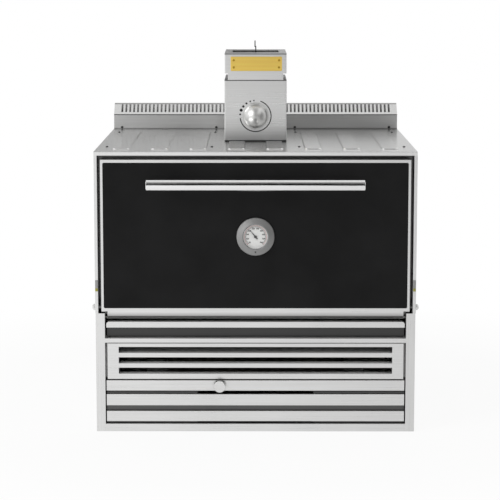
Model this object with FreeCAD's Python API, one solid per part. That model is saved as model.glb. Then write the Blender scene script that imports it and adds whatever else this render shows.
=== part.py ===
import FreeCAD, Part
import math
import os

# Free-standing charcoal oven: a cabinet with an ash drawer, a draught slide, an air grille and a
# grease drawer below, and an insulated firebox with a drop-down door, a flue and a damper above.
# Millimetres. X runs to the right, the front faces -Y and Z points up. The origin is on the floor,
# under the middle of the top plate.

V = FreeCAD.Vector
X_AXIS = V(1, 0, 0)
Y_AXIS = V(0, 1, 0)
Z_AXIS = V(0, 0, 1)

# Overall sizes
WIDTH = 850.0
DEPTH = 740.0
VENT_DEPTH = 50.0
SHEET = 1.5
FRAME_SHEET = 2.0
BEND = 1.0
SURROUND_OVERHANG = 1.0

# Heights of the front, from the floor up
BASE_RAIL_HEIGHT = 20.9
ASH_FRONT_GAP = 6.7
ASH_LOWER_BAR = 28.3
ASH_CHANNEL = 14.8
ASH_UPPER_BAR = 31.0
DRAUGHT_GAP = 9.1
DRAUGHT_BAR = 28.6
GRILLE_GAP = 3.5
GRILLE_HEIGHT = 96.1
RAIL_GAP = 1.6
RAIL_HEIGHT = 12.3
FINGER_HEIGHT = 29.1
LIP_HEIGHT = 15.9
DOOR_FLOOR_GAP = 9.1
ROLL_RADIUS = 17.0
PANEL_SILL = 10.6
PANEL_HEIGHT = 386.9
DOOR_TOP_BORDER = 7.7
RECESS_TOP_GAP = 10.8
TOP_RIM = 10.0

# Lower cabinet
POST_WIDTH = 24.0
POST_DEPTH = 30.0
POST_DOOR_GAP = 4.0
BASE_THICKNESS = 3.0
BASE_RAIL_RETURN = 8.0
INSET_GROOVE = 6.5
BAR_SIDE_GAP = 3.4
SLIDE_GAP = 0.5

# Ash drawer
ASH_BAR_DEPTH = 10.0
ASH_BACKPLATE_REACH = 4.8
ASH_CUTOUT_HALF = 155.0
ASH_PAN_SIDE_GAP = 13.5
ASH_PAN_DEPTH = 560.0
ASH_PAN_LIFT = 1.2
ASH_PAN_HEIGHT = 66.0
ASH_RUNNER_LEDGE = 14.0
ASH_RUNNER_HEIGHT = 57.0

# Draught slide, its guides and the ash chute
DRAUGHT_RETURN = 20.0
DRAUGHT_PLATE_RISE = 8.0
DRAUGHT_PLATE_THICKNESS = 2.5
DRAUGHT_PLATE_REACH = 50.0
DRAUGHT_PLATE_OVERLAP = 8.0
GUIDE_WALL = 19.5
GUIDE_LIP = 12.0
GUIDE_LIP_THICKNESS = 3.4
DRAUGHT_KNOB_X = -95.0
DRAUGHT_KNOB_RISE = 15.0
DRAUGHT_KNOB_RADIUS = 15.6
DRAUGHT_KNOB_NECK = 9.0
DRAUGHT_KNOB_LENGTH = 22.0
DRAUGHT_KNOB_HEAD = 13.0
CHUTE_HALF = 250.0
CHUTE_DEPTH = 260.0
CHUTE_REAR_MARGIN = 69.5

# Air grille
SLOT_COUNT = 3
SLOT_HALF = 363.7
SLOT_HEIGHT = 16.4
SLOT_PITCH = 28.1
SLOT_MARGIN = 14.1
SLOT_LEDGE = 27.0
TOP_SLOT_LEDGE = 120.0
GRILLE_RETURN = 25.0

# Grease drawer
LIP_SIDE_GAP = 4.0
LIP_OVERHANG = 20.0
LIP_CORNER = 8.0
GREASE_PAN_SIDE_GAP = 12.0
GREASE_PAN_DEPTH = 270.0
GREASE_PAN_HEIGHT = 40.0
GREASE_PAN_LIFT = 1.3
GREASE_LEDGE = 18.0
GREASE_RUNNER_HEIGHT = 36.0
RUNNER_THICKNESS = 2.4

# Deck, surround and door recess
DECK_THICKNESS = 3.0
DECK_GAP = 6.1
DRIP_GAP = 3.6
SURROUND_FACE = 8.5
SURROUND_RETURN = 25.0
DOOR_SIDE_GAP = 8.5

# Door
DOOR_PROUD = 4.0
DOOR_DEPTH = 44.0
DOOR_WALL = 2.0
DOOR_SIDE_BORDER = 6.2
DOOR_CORNER = 4.0
ROLL_END = 16.0
END_ROUND = 6.0
PANEL_THICKNESS = 3.0
PANEL_FIT = 0.5
LINER_THICKNESS = 3.0
LINER_BORDER = 4.0
LINER_FIELD_INSET = 70.0
LINER_FIELD_RAISE = 4.0
SEAL_WIDTH = 12.0
SEAL_THICKNESS = 14.6
SEAL_CLEARANCE = 0.4
SEAL_RISE = 3.0
SEAL_TOP_INSET = 6.9
SEAL_SIDE_INSET = 40.0
SEAL_ROUND = 5.0
MOUTH_MARGIN = 4.0

# Door hinge
HINGE_SETBACK = 13.0
HINGE_RISE = 12.0
PIN_RADIUS = 4.0
PIN_COLLAR_RADIUS = 5.5
PIN_COLLAR_LENGTH = 8.0
RUNNING_CLEARANCE = 0.05
BUSH_WALL = 2.0
BUSH_LENGTH = 17.0
HINGE_BLOCK_HALF = 10.0
NUT_RADIUS = 8.7
NUT_HEX_HEIGHT = 4.5
NUT_LENGTH = 8.0

# Door catches on the surround
CATCH_LOW = 53.0
CATCH_PAD_HEIGHT = 8.0
CATCH_HEIGHT = 21.5
CATCH_WIDTH = 7.0
CATCH_PROUD = 2.0
CATCH_PAD_PROUD = 2.6

# Door handle
HANDLE_RADIUS = 15.0
HANDLE_HALF = 284.5
HANDLE_STANDOFF = 61.0
HANDLE_DROP = 53.5
HANDLE_EDGE = 1.0
HANDLE_POST_RADIUS = 8.0
HANDLE_POST_X = 236.0

# Thermometer
BEZEL_RADIUS = 50.0
BEZEL_EDGE = 6.0
BEZEL_RIM = 13.0
BEZEL_RIM_WIDTH = 3.0
BEZEL_HOLE_RADIUS = 2.2
BEZEL_HOLE_DROP = 40.0
DIAL_RADIUS = 32.4
DIAL_THICKNESS = 1.0
DIAL_DROP = 195.2
CUP_FLOOR = 2.0
LENS_THICKNESS = 2.0
LENS_SETBACK = 1.5
NEEDLE_RAISE = 2.2
NEEDLE_THICKNESS = 0.8
NEEDLE_LENGTH = 22.0
NEEDLE_TAIL = 8.0
NEEDLE_WIDTH = 3.2
NEEDLE_TIP_WIDTH = 0.8
NEEDLE_HUB_RADIUS = 3.2
NEEDLE_REST_ANGLE = 39.8
SPINDLE_RADIUS = 1.5
SPINDLE_DEPTH = 20.0
STEM_RADIUS = 5.0
STEM_WALL = 1.5
STEM_REACH = 66.0
STEM_NUT_WIDTH = 17.0
STEM_NUT_THICKNESS = 6.0

# Firebox and insulation
REAR_AIR_GAP = 35.5
FIREBOX_WALL = 5.0
INSULATION_SIDE = 50.0
INSULATION_TOP = 30.0
INSULATION_REAR = 45.0

# Grate, racks and ladders
GRATE_THICKNESS = 15.0
GRATE_RISE = 20.0
GRATE_SIDE_GAP = 7.0
GRATE_END_GAP = 18.0
GRATE_SLOT = 12.0
GRATE_BAR = 13.0
GRATE_RIB = 20.0
REST_THICKNESS = 3.0
REST_LEDGE = 22.0
LADDER_STRIP = 30.0
LADDER_THICKNESS = 4.0
LADDER_SPREAD = 200.0
LADDER_LEDGE = 16.0
LADDER_LEDGE_THICKNESS = 3.0
LADDER_TOP_GAP = 16.0
LEVEL_COUNT = 4
LEVEL_FIRST = 100.0
LEVEL_PITCH = 60.0
LOWER_RACK_LEVEL = 0
UPPER_RACK_LEVEL = 2
RACK_SIDE_GAP = 4.0
RACK_END_GAP = 25.0
RACK_ROD_RADIUS = 3.0
RACK_CROSS_RADIUS = 4.0
RACK_WELD = 1.0
RACK_PITCH = 27.0

# Top plate
RIB_COUNT = 8
RIB_SIDE_MARGIN = 66.0
RIB_WIDTH = 47.0
RIB_HEIGHT = 3.0
RIB_CORNER = 10.0
RIB_SLOPE = 2.6
RIB_FRONT = 65.0
RIB_REAR = 140.0
RIB_FLUE_GAP = 12.0

# Rear upstand
UPSTAND_HEIGHT = 44.0
UPSTAND_FOOT = 14.0
STRIP_RISE = 30.6
STRIP_LEAN = 36.0
VENT_SLOT_COUNT = 69
VENT_SLOT_MARGIN = 24.2
VENT_SLOT_WIDTH = 5.6
VENT_SLOT_LOW = 6.3
VENT_SLOT_HIGH = 2.6
FOLD_GROOVE = 2.4
FOLD_GROOVE_DEPTH = 3.0

# Screws in the top plate and the upstand
SCREW_SIDE_INSET = 24.0
SCREW_RIB_GAP = 12.3
SCREW_FRONT_ROW = 144.0
SCREW_REAR_ROW = 121.0
SCREW_UPSTAND_RISE = 5.0
SCREW_HEAD_RADIUS = 4.0
SCREW_HEAD_HEIGHT = 2.2
SCREW_SOCKET_RADIUS = 1.6
SCREW_SOCKET_DEPTH = 1.2

# Flue box, collar and brass plate
FLUE_FRONT = 307.0
FLUE_HALF = 86.0
FLUE_DEPTH = 290.0
FLUE_HEIGHT = 170.5
THROAT_HALF = 73.5
THROAT_DEPTH = 227.0
NECK_HALF = 76.7
NECK_HEIGHT = 17.9
NECK_INSERT = 15.0
NECK_FIT = 0.3
HOOD_HALF = 85.6
HOOD_HEIGHT = 55.2
OUTLET_HALF = 65.0
OUTLET_DEPTH = 130.0
HOOD_LEDGE = 8.0
HOOD_LEDGE_RISE = 18.0
PLATE_X = 2.0
PLATE_HALF = 71.0
PLATE_LOW = 7.0
PLATE_HEIGHT = 39.5
PLATE_THICKNESS = 2.0
PLATE_CORNER = 3.0
PLATE_SCREW_X = 62.5
PLATE_SCREW_Z = 9.8
PLATE_SCREW_RADIUS = 3.2
PLATE_SCREW_HEIGHT = 1.6

# Flue damper
DAMPER_RISE = 71.0
DAMPER_SHAFT_RADIUS = 5.0
DAMPER_PLATE_CLEARANCE = 3.0
DAMPER_PLATE_THICKNESS = 3.0
DAMPER_PLATE_GAP = 9.0
DAMPER_BUSH_RADIUS = 8.5
DAMPER_BUSH_LENGTH = 7.0
KNOB_RADIUS = 36.0
KNOB_SKIRT = 9.0
KNOB_DOME_RADIUS = 33.0
KNOB_DOME_HEIGHT = 24.0
KNOB_GAP = 0.5
KNOB_POINTER_WIDTH = 3.0
KNOB_POINTER_DEPTH = 1.2

# Spark arrestor
ARRESTOR_FIT = 1.5
ARRESTOR_FRAME = 6.0
ARRESTOR_BORDER = 9.0
ARRESTOR_MESH_THICKNESS = 2.0
ARRESTOR_HOLE = 9.0
ARRESTOR_PITCH = 13.0
EYE_WIRE_RADIUS = 1.5
EYE_STEM_X = 0.5
EYE_LOOP_X = -1.6
EYE_LOOP_RADIUS = 8.0
EYE_HEIGHT = 31.0

# Levels worked out from the sizes above
ash_low = BASE_RAIL_HEIGHT + ASH_FRONT_GAP
ash_lower_top = ash_low + ASH_LOWER_BAR
ash_upper_low = ash_lower_top + ASH_CHANNEL
ash_top = ash_upper_low + ASH_UPPER_BAR
draught_low = ash_top + DRAUGHT_GAP
draught_top = draught_low + DRAUGHT_BAR
grille_low = draught_top + GRILLE_GAP
grille_top = grille_low + GRILLE_HEIGHT
rail_low = grille_top + RAIL_GAP
rail_top = rail_low + RAIL_HEIGHT
lip_low = rail_top + FINGER_HEIGHT
lip_top = lip_low + LIP_HEIGHT
door_low = lip_top + DOOR_FLOOR_GAP
corner_low = door_low + ROLL_RADIUS
panel_low = corner_low + PANEL_SILL
panel_top = panel_low + PANEL_HEIGHT
door_top = panel_top + DOOR_TOP_BORDER
rim_low = door_top + RECESS_TOP_GAP
top = rim_low + TOP_RIM
post_top = corner_low - POST_DOOR_GAP
deck_low = lip_top + DECK_GAP
deck_top = deck_low + DECK_THICKNESS
hinge_z = corner_low + HINGE_RISE
seal_low = hinge_z + SEAL_RISE
seal_top = door_top - SEAL_TOP_INSET
mouth_low = seal_low + SEAL_WIDTH + MOUTH_MARGIN
mouth_top = seal_top - SEAL_WIDTH - MOUTH_MARGIN
floor_low = mouth_low - FIREBOX_WALL
roof_top = mouth_top + FIREBOX_WALL
strip_low = top + UPSTAND_HEIGHT
strip_top = strip_low + STRIP_RISE

# Places from front to back
front = -DEPTH / 2
rear = DEPTH / 2
back = rear + VENT_DEPTH
door_front = front - DOOR_PROUD
panel_front = door_front + SHEET
panel_back = panel_front + PANEL_THICKNESS
door_back = door_front + DOOR_DEPTH
liner_back = door_back + LINER_THICKNESS
recess_face = liner_back + SEAL_THICKNESS + SEAL_CLEARANCE
recess_back = recess_face + SHEET
firebox_rear = rear - REAR_AIR_GAP - INSULATION_REAR
hinge_y = door_front + HINGE_SETBACK
flue_front = front + FLUE_FRONT
flue_rear = flue_front + FLUE_DEPTH
flue_middle = flue_front + FLUE_DEPTH / 2
chute_rear = firebox_rear - CHUTE_REAR_MARGIN
chute_front = chute_rear - CHUTE_DEPTH

# Half widths
side_out = WIDTH / 2 - SURROUND_OVERHANG
side_in = side_out - SHEET
post_in = side_out - POST_WIDTH
inset_half = post_in - INSET_GROOVE
bar_half = post_in - BAR_SIDE_GAP
recess_half = WIDTH / 2 - SURROUND_FACE
door_half = recess_half - DOOR_SIDE_GAP
opening_half = door_half - DOOR_SIDE_BORDER
roll_half = door_half - ROLL_END
seal_half = door_half - SEAL_SIDE_INSET
mouth_half = seal_half - SEAL_WIDTH - MOUTH_MARGIN


# Small helpers

def across(half):
    return (-half, half)


def around(middle, half):
    return (middle - half, middle + half)


def block(x, y, z):
    size = (x[1] - x[0], y[1] - y[0], z[1] - z[0])
    return Part.makeBox(size[0], size[1], size[2], V(x[0], y[0], z[0]))


def join(shapes):
    return shapes[0].multiFuse(shapes[1:]).removeSplitter()


def without(shape, tools):
    return shape.cut(tools)


def mirrored(shape):
    return shape.mirror(V(0, 0, 0), X_AXIS)


def pair(shape):
    return Part.makeCompound([mirrored(shape), shape])


def rod_x(x, y, z, radius):
    return Part.makeCylinder(radius, x[1] - x[0], V(x[0], y, z), X_AXIS)


def rod_y(x, y, z, radius):
    return Part.makeCylinder(radius, y[1] - y[0], V(x, y[0], z), Y_AXIS)


def rod_z(x, y, z, radius):
    return Part.makeCylinder(radius, z[1] - z[0], V(x, y, z[0]), Z_AXIS)


def prism_x(points, x):
    """A polygon of (y, z) points drawn out along X."""
    corners = [V(x[0], y, z) for y, z in points]
    face = Part.Face(Part.makePolygon(corners + corners[:1]))
    return face.extrude(V(x[1] - x[0], 0, 0))


def turned(profile, x, z):
    """A closed profile of (radius, y) points turned about the Y axis through x, z."""
    corners = [V(x + radius, y, z) for radius, y in profile]
    face = Part.Face(Part.makePolygon(corners + corners[:1]))
    return face.revolve(V(x, 0, z), Y_AXIS, 360)


def runs_along(edge, axis):
    if not isinstance(edge.Curve, Part.Line):
        return False
    return abs(abs(edge.tangentAt(edge.FirstParameter).dot(axis)) - 1) < 1e-6


def rounded(shape, axis, radius, chosen=None):
    """Fillet the straight edges along axis, or those of them whose middle the test accepts."""
    edges = [edge for edge in shape.Edges if runs_along(edge, axis)]
    if chosen:
        edges = [edge for edge in edges if chosen(edge.CenterOfMass)]
    return shape.makeFillet(radius, edges)


def near(value, target):
    return abs(value - target) < 0.01


def tray(x, y, z, wall):
    """An open-topped sheet box."""
    inside = block((x[0] + wall, x[1] - wall), (y[0] + wall, y[1] - wall), (z[0] + wall, z[1] + wall))
    return without(block(x, y, z), [inside])


def duct(x, y, z, wall):
    """A rectangular sheet tube that runs upwards."""
    inside = block((x[0] + wall, x[1] - wall), (y[0] + wall, y[1] - wall), (z[0] - wall, z[1] + wall))
    return without(block(x, y, z), [inside])


def save(node, shape):
    shape.exportStep("parts/" + node + ".step")


# Lower cabinet

def base_plate():
    return block(across(side_in), (front + FRAME_SHEET, back - SHEET), (0, BASE_THICKNESS))


def front_frame():
    face = (front, front + FRAME_SHEET)
    deep = (front, front + POST_DEPTH)
    post = join([
        block((post_in, side_in), face, (0, post_top)),
        block((post_in, post_in + FRAME_SHEET), deep, (BASE_THICKNESS, post_top)),
    ])
    rail = [
        block(across(post_in), face, (rail_low, rail_top)),
        block(across(post_in), deep, (rail_top - FRAME_SHEET, rail_top)),
        block(across(post_in), deep, (rail_low, rail_low + FRAME_SHEET)),
    ]
    foot_return = (front, front + BASE_RAIL_RETURN)
    foot = [
        block(across(post_in), face, (0, BASE_RAIL_HEIGHT)),
        block(across(post_in), foot_return, (BASE_RAIL_HEIGHT - FRAME_SHEET, BASE_RAIL_HEIGHT)),
    ]
    frame = join([post, mirrored(post)] + rail + foot)
    return rounded(frame, X_AXIS, BEND, is_front_fold)


def is_front_fold(point):
    folds = (rail_low, rail_top, BASE_RAIL_HEIGHT)
    return near(point.y, front) and any(near(point.z, level) for level in folds)


def side_panel():
    outline = [
        (front, 0),
        (front, post_top),
        (front + SHEET, post_top),
        (front + SHEET, top - SHEET),
        (back - SHEET, top - SHEET),
        (back - SHEET, 0),
    ]
    hole = rod_x((side_in - SHEET, side_out + SHEET), hinge_y, hinge_z, PIN_RADIUS)
    return without(prism_x(outline, (side_in, side_out)), [hole])


def back_panel():
    return block(across(side_out), (back - SHEET, back), (0, strip_top - SHEET))


def deck_plate():
    edge = front + POST_DEPTH
    plate = block(across(side_in), (edge, rear), (deck_low, deck_top))
    drip_edge = block(across(lip_half), (edge, edge + FRAME_SHEET), (lip_top + DRIP_GAP, deck_low))
    return without(join([plate, drip_edge]), [chute_space(CHUTE_HALF)])


def chute_space(half):
    """The room that the chute takes, down through everything that it passes."""
    inset = CHUTE_HALF - half
    return block(across(half), (chute_front + inset, chute_rear - inset), (draught_low, mouth_low))


# Ash drawer

def ash_drawer_front():
    plate_front = front + ASH_BAR_DEPTH
    plate_z = (ash_low - ASH_BACKPLATE_REACH, ash_top + ASH_BACKPLATE_REACH)
    plate = block(across(bar_half), (plate_front, plate_front + FRAME_SHEET), plate_z)
    notch_y = (front, plate_front + 2 * FRAME_SHEET)
    notches = [
        block(across(ASH_CUTOUT_HALF), notch_y, (ash_top, plate_z[1] + FRAME_SHEET)),
        block(across(ASH_CUTOUT_HALF), notch_y, (plate_z[0] - FRAME_SHEET, ash_low)),
    ]
    bars = [
        folded_bar((ash_low, ash_lower_top), ASH_BAR_DEPTH),
        folded_bar((ash_upper_low, ash_top), ASH_BAR_DEPTH),
    ]
    return join([without(plate, notches)] + bars)


def folded_bar(z, depth):
    """A bar of sheet across the front, folded back along its top and bottom."""
    whole = block(across(bar_half), (front, front + depth), z)
    hollow_y = (front + FRAME_SHEET, front + depth + FRAME_SHEET)
    hollow = block(across(WIDTH), hollow_y, (z[0] + FRAME_SHEET, z[1] - FRAME_SHEET))
    bar = without(whole, [hollow])
    return rounded(bar, X_AXIS, BEND, lambda point: near(point.y, front))


ash_pan_half = post_in - ASH_PAN_SIDE_GAP - SLIDE_GAP
ash_pan_low = ash_low + ASH_PAN_LIFT
ash_pan_front = front + ASH_BAR_DEPTH + FRAME_SHEET


def ash_drawer_pan():
    y = (ash_pan_front, ash_pan_front + ASH_PAN_DEPTH)
    return tray(across(ash_pan_half), y, (ash_pan_low, ash_pan_low + ASH_PAN_HEIGHT), SHEET)


def ash_runner():
    y = (front + POST_DEPTH, ash_pan_front + ASH_PAN_DEPTH)
    leg_x = (ash_pan_half + SLIDE_GAP, ash_pan_half + SLIDE_GAP + RUNNER_THICKNESS)
    leg = block(leg_x, y, (BASE_THICKNESS, BASE_THICKNESS + ASH_RUNNER_HEIGHT))
    ledge_top = ash_pan_low - SLIDE_GAP
    ledge = block((leg_x[0] - ASH_RUNNER_LEDGE, leg_x[1]), y, (ledge_top - RUNNER_THICKNESS, ledge_top))
    return join([leg, ledge])


# Draught slide and ash chute

draught_plate_low = draught_low + DRAUGHT_PLATE_RISE
draught_plate_top = draught_plate_low + DRAUGHT_PLATE_THICKNESS
chute_low = draught_plate_top + SLIDE_GAP
draught_plate_half = CHUTE_HALF + DRAUGHT_PLATE_REACH
guide_outer = draught_plate_half + SLIDE_GAP + GUIDE_WALL


def draught_slide():
    bar = folded_bar((draught_low, draught_top), DRAUGHT_RETURN)
    plate_y = (front + FRAME_SHEET, chute_rear + DRAUGHT_PLATE_OVERLAP)
    plate = block(across(draught_plate_half), plate_y, (draught_plate_low, draught_plate_top))
    return join([bar, plate])


def draught_knob():
    face = front - DRAUGHT_KNOB_LENGTH
    head_back = face + DRAUGHT_KNOB_HEAD
    knob = turned([
        (0, front),
        (DRAUGHT_KNOB_NECK, front),
        (DRAUGHT_KNOB_NECK, head_back),
        (DRAUGHT_KNOB_RADIUS - BEND, head_back),
        (DRAUGHT_KNOB_RADIUS, head_back - BEND),
        (DRAUGHT_KNOB_RADIUS, face + BEND),
        (DRAUGHT_KNOB_RADIUS - BEND, face),
        (0, face),
    ], DRAUGHT_KNOB_X, draught_low + DRAUGHT_KNOB_RISE)
    return knob


def draught_guides():
    y = (chute_front, chute_rear)
    inner = draught_plate_half + SLIDE_GAP
    lip_top = draught_plate_low - SLIDE_GAP
    lip_low_z = lip_top - GUIDE_LIP_THICKNESS
    flange_top = chute_low + FRAME_SHEET
    side = block((inner, guide_outer), y, (lip_low_z, flange_top))
    lip = block((inner - GUIDE_LIP, inner), y, (lip_low_z, lip_top))
    flange = block((CHUTE_HALF, inner), y, (chute_low, flange_top))
    return pair(join([side, lip, flange]))


def ash_chute():
    z = (chute_low, floor_low)
    return duct(across(CHUTE_HALF), (chute_front, chute_rear), z, FRAME_SHEET)


# Air grille

def vent_grille():
    face = (front, front + FRAME_SHEET)
    plate = block(across(inset_half), face, (grille_low, grille_top))
    slots = []
    ledges = []
    for index in range(SLOT_COUNT):
        low = grille_low + SLOT_MARGIN + index * SLOT_PITCH
        slots.append(block(across(SLOT_HALF), (front - SHEET, front + POST_DEPTH), (low, low + SLOT_HEIGHT)))
        reach = TOP_SLOT_LEDGE if index == SLOT_COUNT - 1 else SLOT_LEDGE
        ledges.append(block(across(SLOT_HALF), (front, front + reach), (low - FRAME_SHEET, low)))
    height = (grille_low, grille_top)
    wing_rear = front + GRILLE_RETURN
    wing = [
        block((inset_half - FRAME_SHEET, inset_half), (front, wing_rear), height),
        block((inset_half - FRAME_SHEET, post_in), (wing_rear - FRAME_SHEET, wing_rear), height),
    ]
    wings = wing + [mirrored(piece) for piece in wing]
    return join([without(plate, slots)] + ledges + wings)


# Grease drawer

lip_half = post_in - LIP_SIDE_GAP
grease_low = rail_top + GREASE_PAN_LIFT
grease_wall = front + LIP_OVERHANG
grease_pan_half = post_in - GREASE_PAN_SIDE_GAP
grease_pan_rear = grease_wall + SHEET + GREASE_PAN_DEPTH


def grease_drawer_front():
    wall = block(across(lip_half), (grease_wall, grease_wall + SHEET), (grease_low, lip_top))
    shelf = block(across(lip_half), (front, grease_wall + SHEET), (lip_top - SHEET, lip_top))
    lip = block(across(lip_half), (front, front + SHEET), (lip_low, lip_top))
    folded = rounded(join([wall, shelf, lip]), X_AXIS, BEND, is_lip_fold)
    outline = block(across(lip_half), (front - SHEET, grease_wall + 2 * SHEET), (grease_low, lip_top))
    outline = rounded(outline, Y_AXIS, LIP_CORNER, lambda point: near(point.z, lip_top))
    return folded.common(outline)


def is_lip_fold(point):
    return near(point.y, front) and near(point.z, lip_top)


def grease_drawer_pan():
    y = (grease_wall + SHEET, grease_pan_rear)
    return tray(across(grease_pan_half), y, (grease_low, grease_low + GREASE_PAN_HEIGHT), SHEET)


def grease_runner():
    y = (front + POST_DEPTH, grease_pan_rear)
    ledge_top = grease_low - SLIDE_GAP
    ledge_z = (ledge_top - RUNNER_THICKNESS, ledge_top)
    ledge = block((grease_pan_half - GREASE_LEDGE, side_in), y, ledge_z)
    leg = block((side_in - RUNNER_THICKNESS, side_in), y, (ledge_z[0], ledge_z[0] + GREASE_RUNNER_HEIGHT))
    return join([ledge, leg])


def drawer_runners():
    runners = [ash_runner(), grease_runner()]
    return Part.makeCompound(runners + [mirrored(runner) for runner in runners])


# Surround, top plate and rear upstand

def front_surround():
    face_z = (post_top, rim_low)
    lip = join([
        block((recess_half, WIDTH / 2), (front, front + SHEET), face_z),
        block((side_out, WIDTH / 2), (front, front + SURROUND_RETURN), face_z),
        block((recess_half, recess_half + SHEET), (front, recess_back), face_z),
    ])
    lip = rounded(lip, Z_AXIS, BEND, lambda point: near(point.y, front))
    hole = rod_x((recess_half - SHEET, WIDTH), hinge_y, hinge_z, PIN_RADIUS)
    lip = without(lip, [hole])
    roof = block(across(recess_half + SHEET), (front + SHEET, recess_back), (rim_low, rim_low + SHEET))
    wall = block(across(recess_half + SHEET), (recess_face, recess_back), (deck_top, rim_low + SHEET))
    mouth = block(across(mouth_half), (recess_face - SHEET, recess_back + SHEET), (mouth_low, mouth_top))
    return join([lip, mirrored(lip), roof, without(wall, [mouth])])


def top_plate():
    sheet = join([
        block(across(WIDTH / 2), (front, rear), (top - SHEET, top)),
        block(across(WIDTH / 2), (front, front + SHEET), (rim_low, top)),
        block((side_out, WIDTH / 2), (front, rear), (rim_low, top)),
        block((-WIDTH / 2, -side_out), (front, rear), (rim_low, top)),
    ])
    sheet = rounded(sheet, X_AXIS, BEND, lambda point: near(point.y, front) and near(point.z, top))
    hollows = [rib(index, SHEET) for index in range(RIB_COUNT)]
    ribs = [rib(index, 0) for index in range(RIB_COUNT)]
    hole = block(across(THROAT_HALF), around(flue_middle, THROAT_DEPTH / 2), (rim_low, top + SHEET))
    return without(join([sheet] + ribs), hollows + [hole])


def rib_middle(index):
    pitch = 2 * (side_out - RIB_SIDE_MARGIN) / (RIB_COUNT - 1)
    return (index - (RIB_COUNT - 1) / 2) * pitch


def rib(index, inset):
    """One raised rib, or with an inset the hollow pressed up into its underside."""
    middle = rib_middle(index)
    under_flue = abs(middle) - RIB_WIDTH / 2 < FLUE_HALF
    end = flue_front - RIB_FLUE_GAP if under_flue else rear - RIB_REAR
    y = (front + RIB_FRONT + inset, end - inset)
    raised = block(around(middle, RIB_WIDTH / 2 - inset), y, (top - SHEET, top + RIB_HEIGHT - inset))
    raised = rounded(raised, Z_AXIS, RIB_CORNER - inset)
    if inset:
        return raised
    crown = [edge for edge in raised.Edges if near(edge.CenterOfMass.z, top + RIB_HEIGHT)]
    return raised.makeChamfer(RIB_SLOPE, crown)


def rear_upstand():
    outer = [
        (rear, top - UPSTAND_FOOT),
        (rear, strip_low),
        (rear + STRIP_LEAN, strip_top),
        (back, strip_top),
        (back, strip_top - SHEET),
        (rear + STRIP_LEAN + SHEET, strip_top - SHEET),
        (rear + SHEET, strip_low - SHEET),
        (rear + SHEET, top - UPSTAND_FOOT),
    ]
    cap = prism_x([
        (rear, top - SHEET),
        (rear, strip_low),
        (rear + STRIP_LEAN, strip_top),
        (back - SHEET, strip_top),
        (back - SHEET, top - SHEET),
    ], (side_in, side_out))
    slot_z = (strip_low + VENT_SLOT_LOW, strip_top - VENT_SLOT_HIGH)
    pitch = 2 * (side_out - VENT_SLOT_MARGIN) / (VENT_SLOT_COUNT - 1)
    slots = []
    for index in range(VENT_SLOT_COUNT):
        middle = (index - (VENT_SLOT_COUNT - 1) / 2) * pitch
        slots.append(block(around(middle, VENT_SLOT_WIDTH / 2), (rear + 2 * SHEET, back + SHEET), slot_z))
    cover = without(prism_x(outer, across(side_in)), slots)
    cover = join([cover, cap, mirrored(cap)])
    groove_low = strip_low - FOLD_GROOVE
    groove_back = rear + FOLD_GROOVE_DEPTH
    groove = block(across(side_out), (rear, groove_back), (groove_low, strip_low))
    web = block(across(side_in), (rear, groove_back), (groove_low - SHEET, groove_low))
    wall_z = (groove_low - SHEET, strip_low + SHEET)
    wall = block(across(side_in), (groove_back, groove_back + SHEET), wall_z)
    return join([without(cover, [groove]), web, wall])


def screw_head(radius, height):
    """A button head with a socket, standing on the origin with its axis along Z."""
    head = Part.makeCone(radius, radius * math.cos(math.pi / 4), height)
    socket = Part.makeCylinder(SCREW_SOCKET_RADIUS, SCREW_SOCKET_DEPTH, V(0, 0, height - SCREW_SOCKET_DEPTH))
    return without(head, [socket])


def facing_front(shape, x, y, z):
    """Turn a shape that stands on the XY plane to face -Y, and move it into place."""
    shape.rotate(V(0, 0, 0), X_AXIS, 90)
    shape.translate(V(x, y, z))
    return shape


def casing_screws():
    heads = []
    outer = side_out - SCREW_SIDE_INSET
    inner = rib_middle(RIB_COUNT // 2 + 1) - RIB_WIDTH / 2 - SCREW_RIB_GAP
    for x in (-outer, -inner, inner, outer):
        for y in (front + SCREW_FRONT_ROW, rear - SCREW_REAR_ROW):
            head = screw_head(SCREW_HEAD_RADIUS, SCREW_HEAD_HEIGHT)
            head.translate(V(x, y, top))
            heads.append(head)
        head = screw_head(SCREW_HEAD_RADIUS, SCREW_HEAD_HEIGHT)
        heads.append(facing_front(head, x, rear, top + SCREW_UPSTAND_RISE))
    return Part.makeCompound(heads)


# Firebox, insulation and what stands in the firebox

def firebox_plate(z):
    return block(across(mouth_half + FIREBOX_WALL), (recess_back, firebox_rear), z)


def firebox_walls():
    room_y = (recess_back - FIREBOX_WALL, firebox_rear - FIREBOX_WALL)
    room = block(across(mouth_half), room_y, (mouth_low, mouth_top))
    return without(firebox_plate((mouth_low, mouth_top)), [room])


def firebox_floor():
    plate = firebox_plate((floor_low, mouth_low))
    return without(plate, [chute_space(CHUTE_HALF - FRAME_SHEET)])


def firebox_roof():
    return without(firebox_plate((mouth_top, roof_top)), [throat_space()])


def throat_space():
    y = around(flue_middle, THROAT_DEPTH / 2)
    return block(across(THROAT_HALF), y, (mouth_top, top))


def flue_throat():
    y = around(flue_middle, THROAT_DEPTH / 2)
    return duct(across(THROAT_HALF), y, (mouth_top, top), FIREBOX_WALL)


insulation_half = mouth_half + FIREBOX_WALL + INSULATION_SIDE
insulation_top = roof_top + INSULATION_TOP


def floor_board():
    y = (recess_back, firebox_rear + INSULATION_REAR)
    board = block(across(insulation_half), y, (deck_top, floor_low))
    return without(board, [chute_space(CHUTE_HALF)])


def insulation_wrap():
    y = (recess_back, firebox_rear)
    outside = block(across(insulation_half), y, (floor_low, insulation_top))
    inside_y = (recess_back - SHEET, firebox_rear + SHEET)
    inside_z = (floor_low - SHEET, roof_top)
    inside = block(across(mouth_half + FIREBOX_WALL), inside_y, inside_z)
    return without(outside, [inside, throat_space()])


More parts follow.
